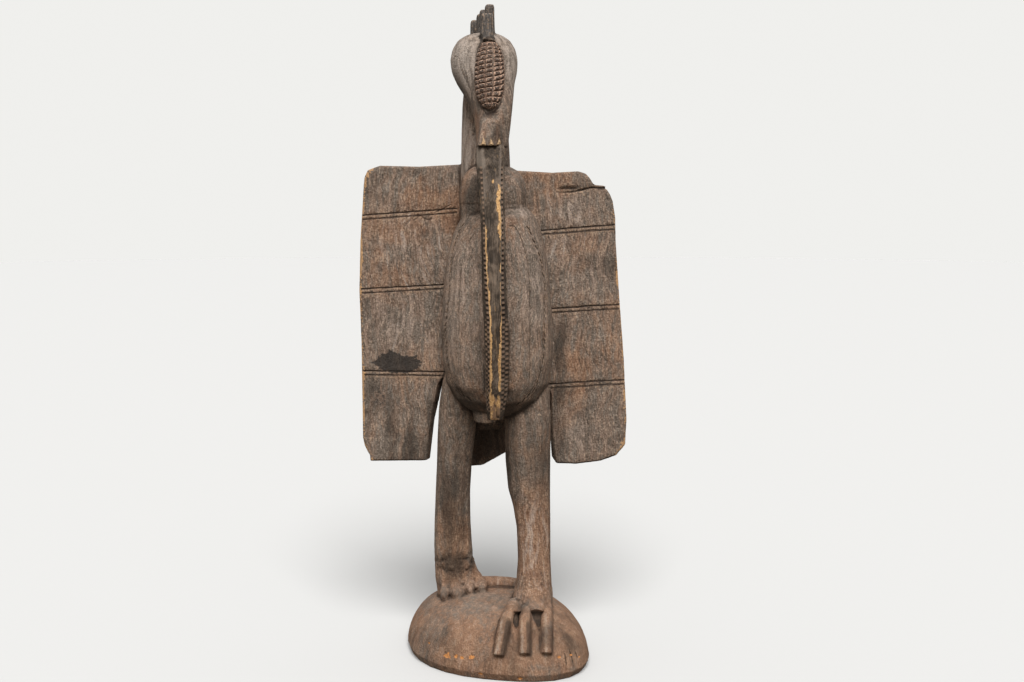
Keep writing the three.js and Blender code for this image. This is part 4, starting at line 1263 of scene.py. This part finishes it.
def makeBlackBeak(values):
    material, tree, where = startMaterial("blackened_beak")
    fine, long = grain(tree, where, 0.0028, 0.05, 0.006), grain(tree, where, 0.009, 0.2, 0.012)
    patch = mottle(tree, where, 0.035)
    tone = weighed(tree, 0.0, (fine["Fibre"], 0.35), (long["Streak"], 0.3), (patch["Cloud"], 0.35))
    base = layered(
        tree, toned(tree, tone, values["paint"]),
        ("slope", long["Fibre"], 0.9, 0.4, 0.5, values["slope"]),
        ("lip", patch["Cloud"], 0.8, 0.4, 0.6, values["lip"]),
        ("bead", None, 0, 0, 0.7, values["bead"]),
        ("tip", fine["Fibre"], 0.7, 0.35, 0.75, values["tip"]),
    )
    bareTone = weighed(tree, 0.0, (fine["Fibre"], 0.6), (patch["Speck"], 0.4))
    bare = ragged(tree, maskOf(tree, "bareBeak"), fine["Streak"], 0.8, 0.2)
    base = covered(tree, base, bare, 0.92, toned(tree, bareTone, values["bare"]))
    # The cavity mask paints shade into the notches, the split and the hole
    base = layered(
        tree, base,
        ("arris", long["Fibre"], 0.9, 0.3, 0.3, values["lip"]),
        ("cavity", None, 0, 0, 0.92, values["crevice"]),
    )
    rough = weighed(tree, 0.68, (tone, 0.2))
    relief = weighed(tree, fine["Fibre"], (bare, -0.8), (patch["Speck"], 0.4))
    finishMaterial(tree, base, rough, relief, values)
    return material


woodFinish, beakFinish = makeAgedWood(agedWood), makeBlackBeak(blackBeak)
for piece, finish in ((bird, woodFinish), (cobPiece, woodFinish), (longBeak, beakFinish)):
    piece.data.materials.clear()
    piece.data.materials.append(finish)
    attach(piece, "root")
    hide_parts("bird_figure")
print("finishes mixed")

# Floor, light and camera
studio = {
    "floor": (0.5, 0.497, 0.487, 1),
    "bounce": (0.17, 0.15, 0.125, 1),  # what the floor throws back up
    "sky": (1.0, 1.0, 1.0, 1),
    "horizon": 0.34,  # light from the sides
    "zenith": 0.75,  # light from overhead
    "backdrop": (0.87, 0.867, 0.845, 1),
    "key": 4.5,
    "keySpread": 34,
    "keyFrom": (0.05, -2.3, 3.1),
    "lens": 38.67,
    "cameraAt": (-0.130, -3.43, 1.415),
    "cameraTurn": (83.2, 0, -3.0),
}
floorSkin = bmesh.new()
bmesh.ops.create_circle(floorSkin, cap_ends=True, segments=96, radius=30)
floorMesh = bpy.data.meshes.new("floor")
floorSkin.to_mesh(floorMesh)
floorSkin.free()
floor = bpy.data.objects.new("floor", floorMesh)
bpy.context.collection.objects.link(floor)
plain = bpy.data.materials.new("pale floor")
plain.use_nodes = True
seen = place(plain.node_tree, "ShaderNodeLightPath").outputs["Is Camera Ray"]
floorTone = blended(plain.node_tree, seen, studio["bounce"], studio["floor"])
plain.node_tree.links.new(floorTone, plain.node_tree.nodes["Principled BSDF"].inputs["Base Color"])
plain.node_tree.nodes["Principled BSDF"].inputs["Roughness"].default_value = 0.95
plain.node_tree.nodes["Principled BSDF"].inputs["Specular IOR Level"].default_value = 0.1
floorMesh.materials.append(plain)

world = bpy.data.worlds.new("studio")
bpy.context.scene.world = world
world.use_nodes = True
tree = world.node_tree
dome = tree.nodes["Background"]
way = place(tree, "ShaderNodeTexCoord").outputs["Generated"]
up = place(tree, "ShaderNodeSeparateXYZ", {0: way}).outputs["Z"]
strength = place(tree, "ShaderNodeMapRange", {0: up, 1: 0.0, 2: 1.0, 3: studio["horizon"], 4: studio["zenith"]})
dome.inputs["Color"].default_value = studio["sky"]
tree.links.new(strength.outputs[0], dome.inputs["Strength"])
backdrop = place(tree, "ShaderNodeBackground", {"Color": studio["backdrop"], "Strength": 1.0})
path = place(tree, "ShaderNodeLightPath").outputs["Is Camera Ray"]
mixed = place(tree, "ShaderNodeMixShader", {0: path, 1: dome.outputs[0], 2: backdrop.outputs[0]})
tree.links.new(mixed.outputs[0], tree.nodes["World Output"].inputs["Surface"])

key = bpy.data.lights.new("key", "SUN")  # a broad, even light from high in front
key.energy = studio["key"]
key.angle = math.radians(studio["keySpread"])
keyLight = bpy.data.objects.new("key", key)
bpy.context.collection.objects.link(keyLight)
keyLight.location = studio["keyFrom"]
keyLight.rotation_euler = Vector(studio["keyFrom"]).to_track_quat("Z", "Y").to_euler()

lens = bpy.data.cameras.new("camera")
lens.lens = studio["lens"]
lens.sensor_width = 36
camera = bpy.data.objects.new("camera", lens)
bpy.context.collection.objects.link(camera)
camera.location = studio["cameraAt"]
camera.rotation_euler = [math.radians(angle) for angle in studio["cameraTurn"]]
bpy.context.scene.camera = camera
bpy.context.scene.view_settings.view_transform = "Standard"

print("stage set")
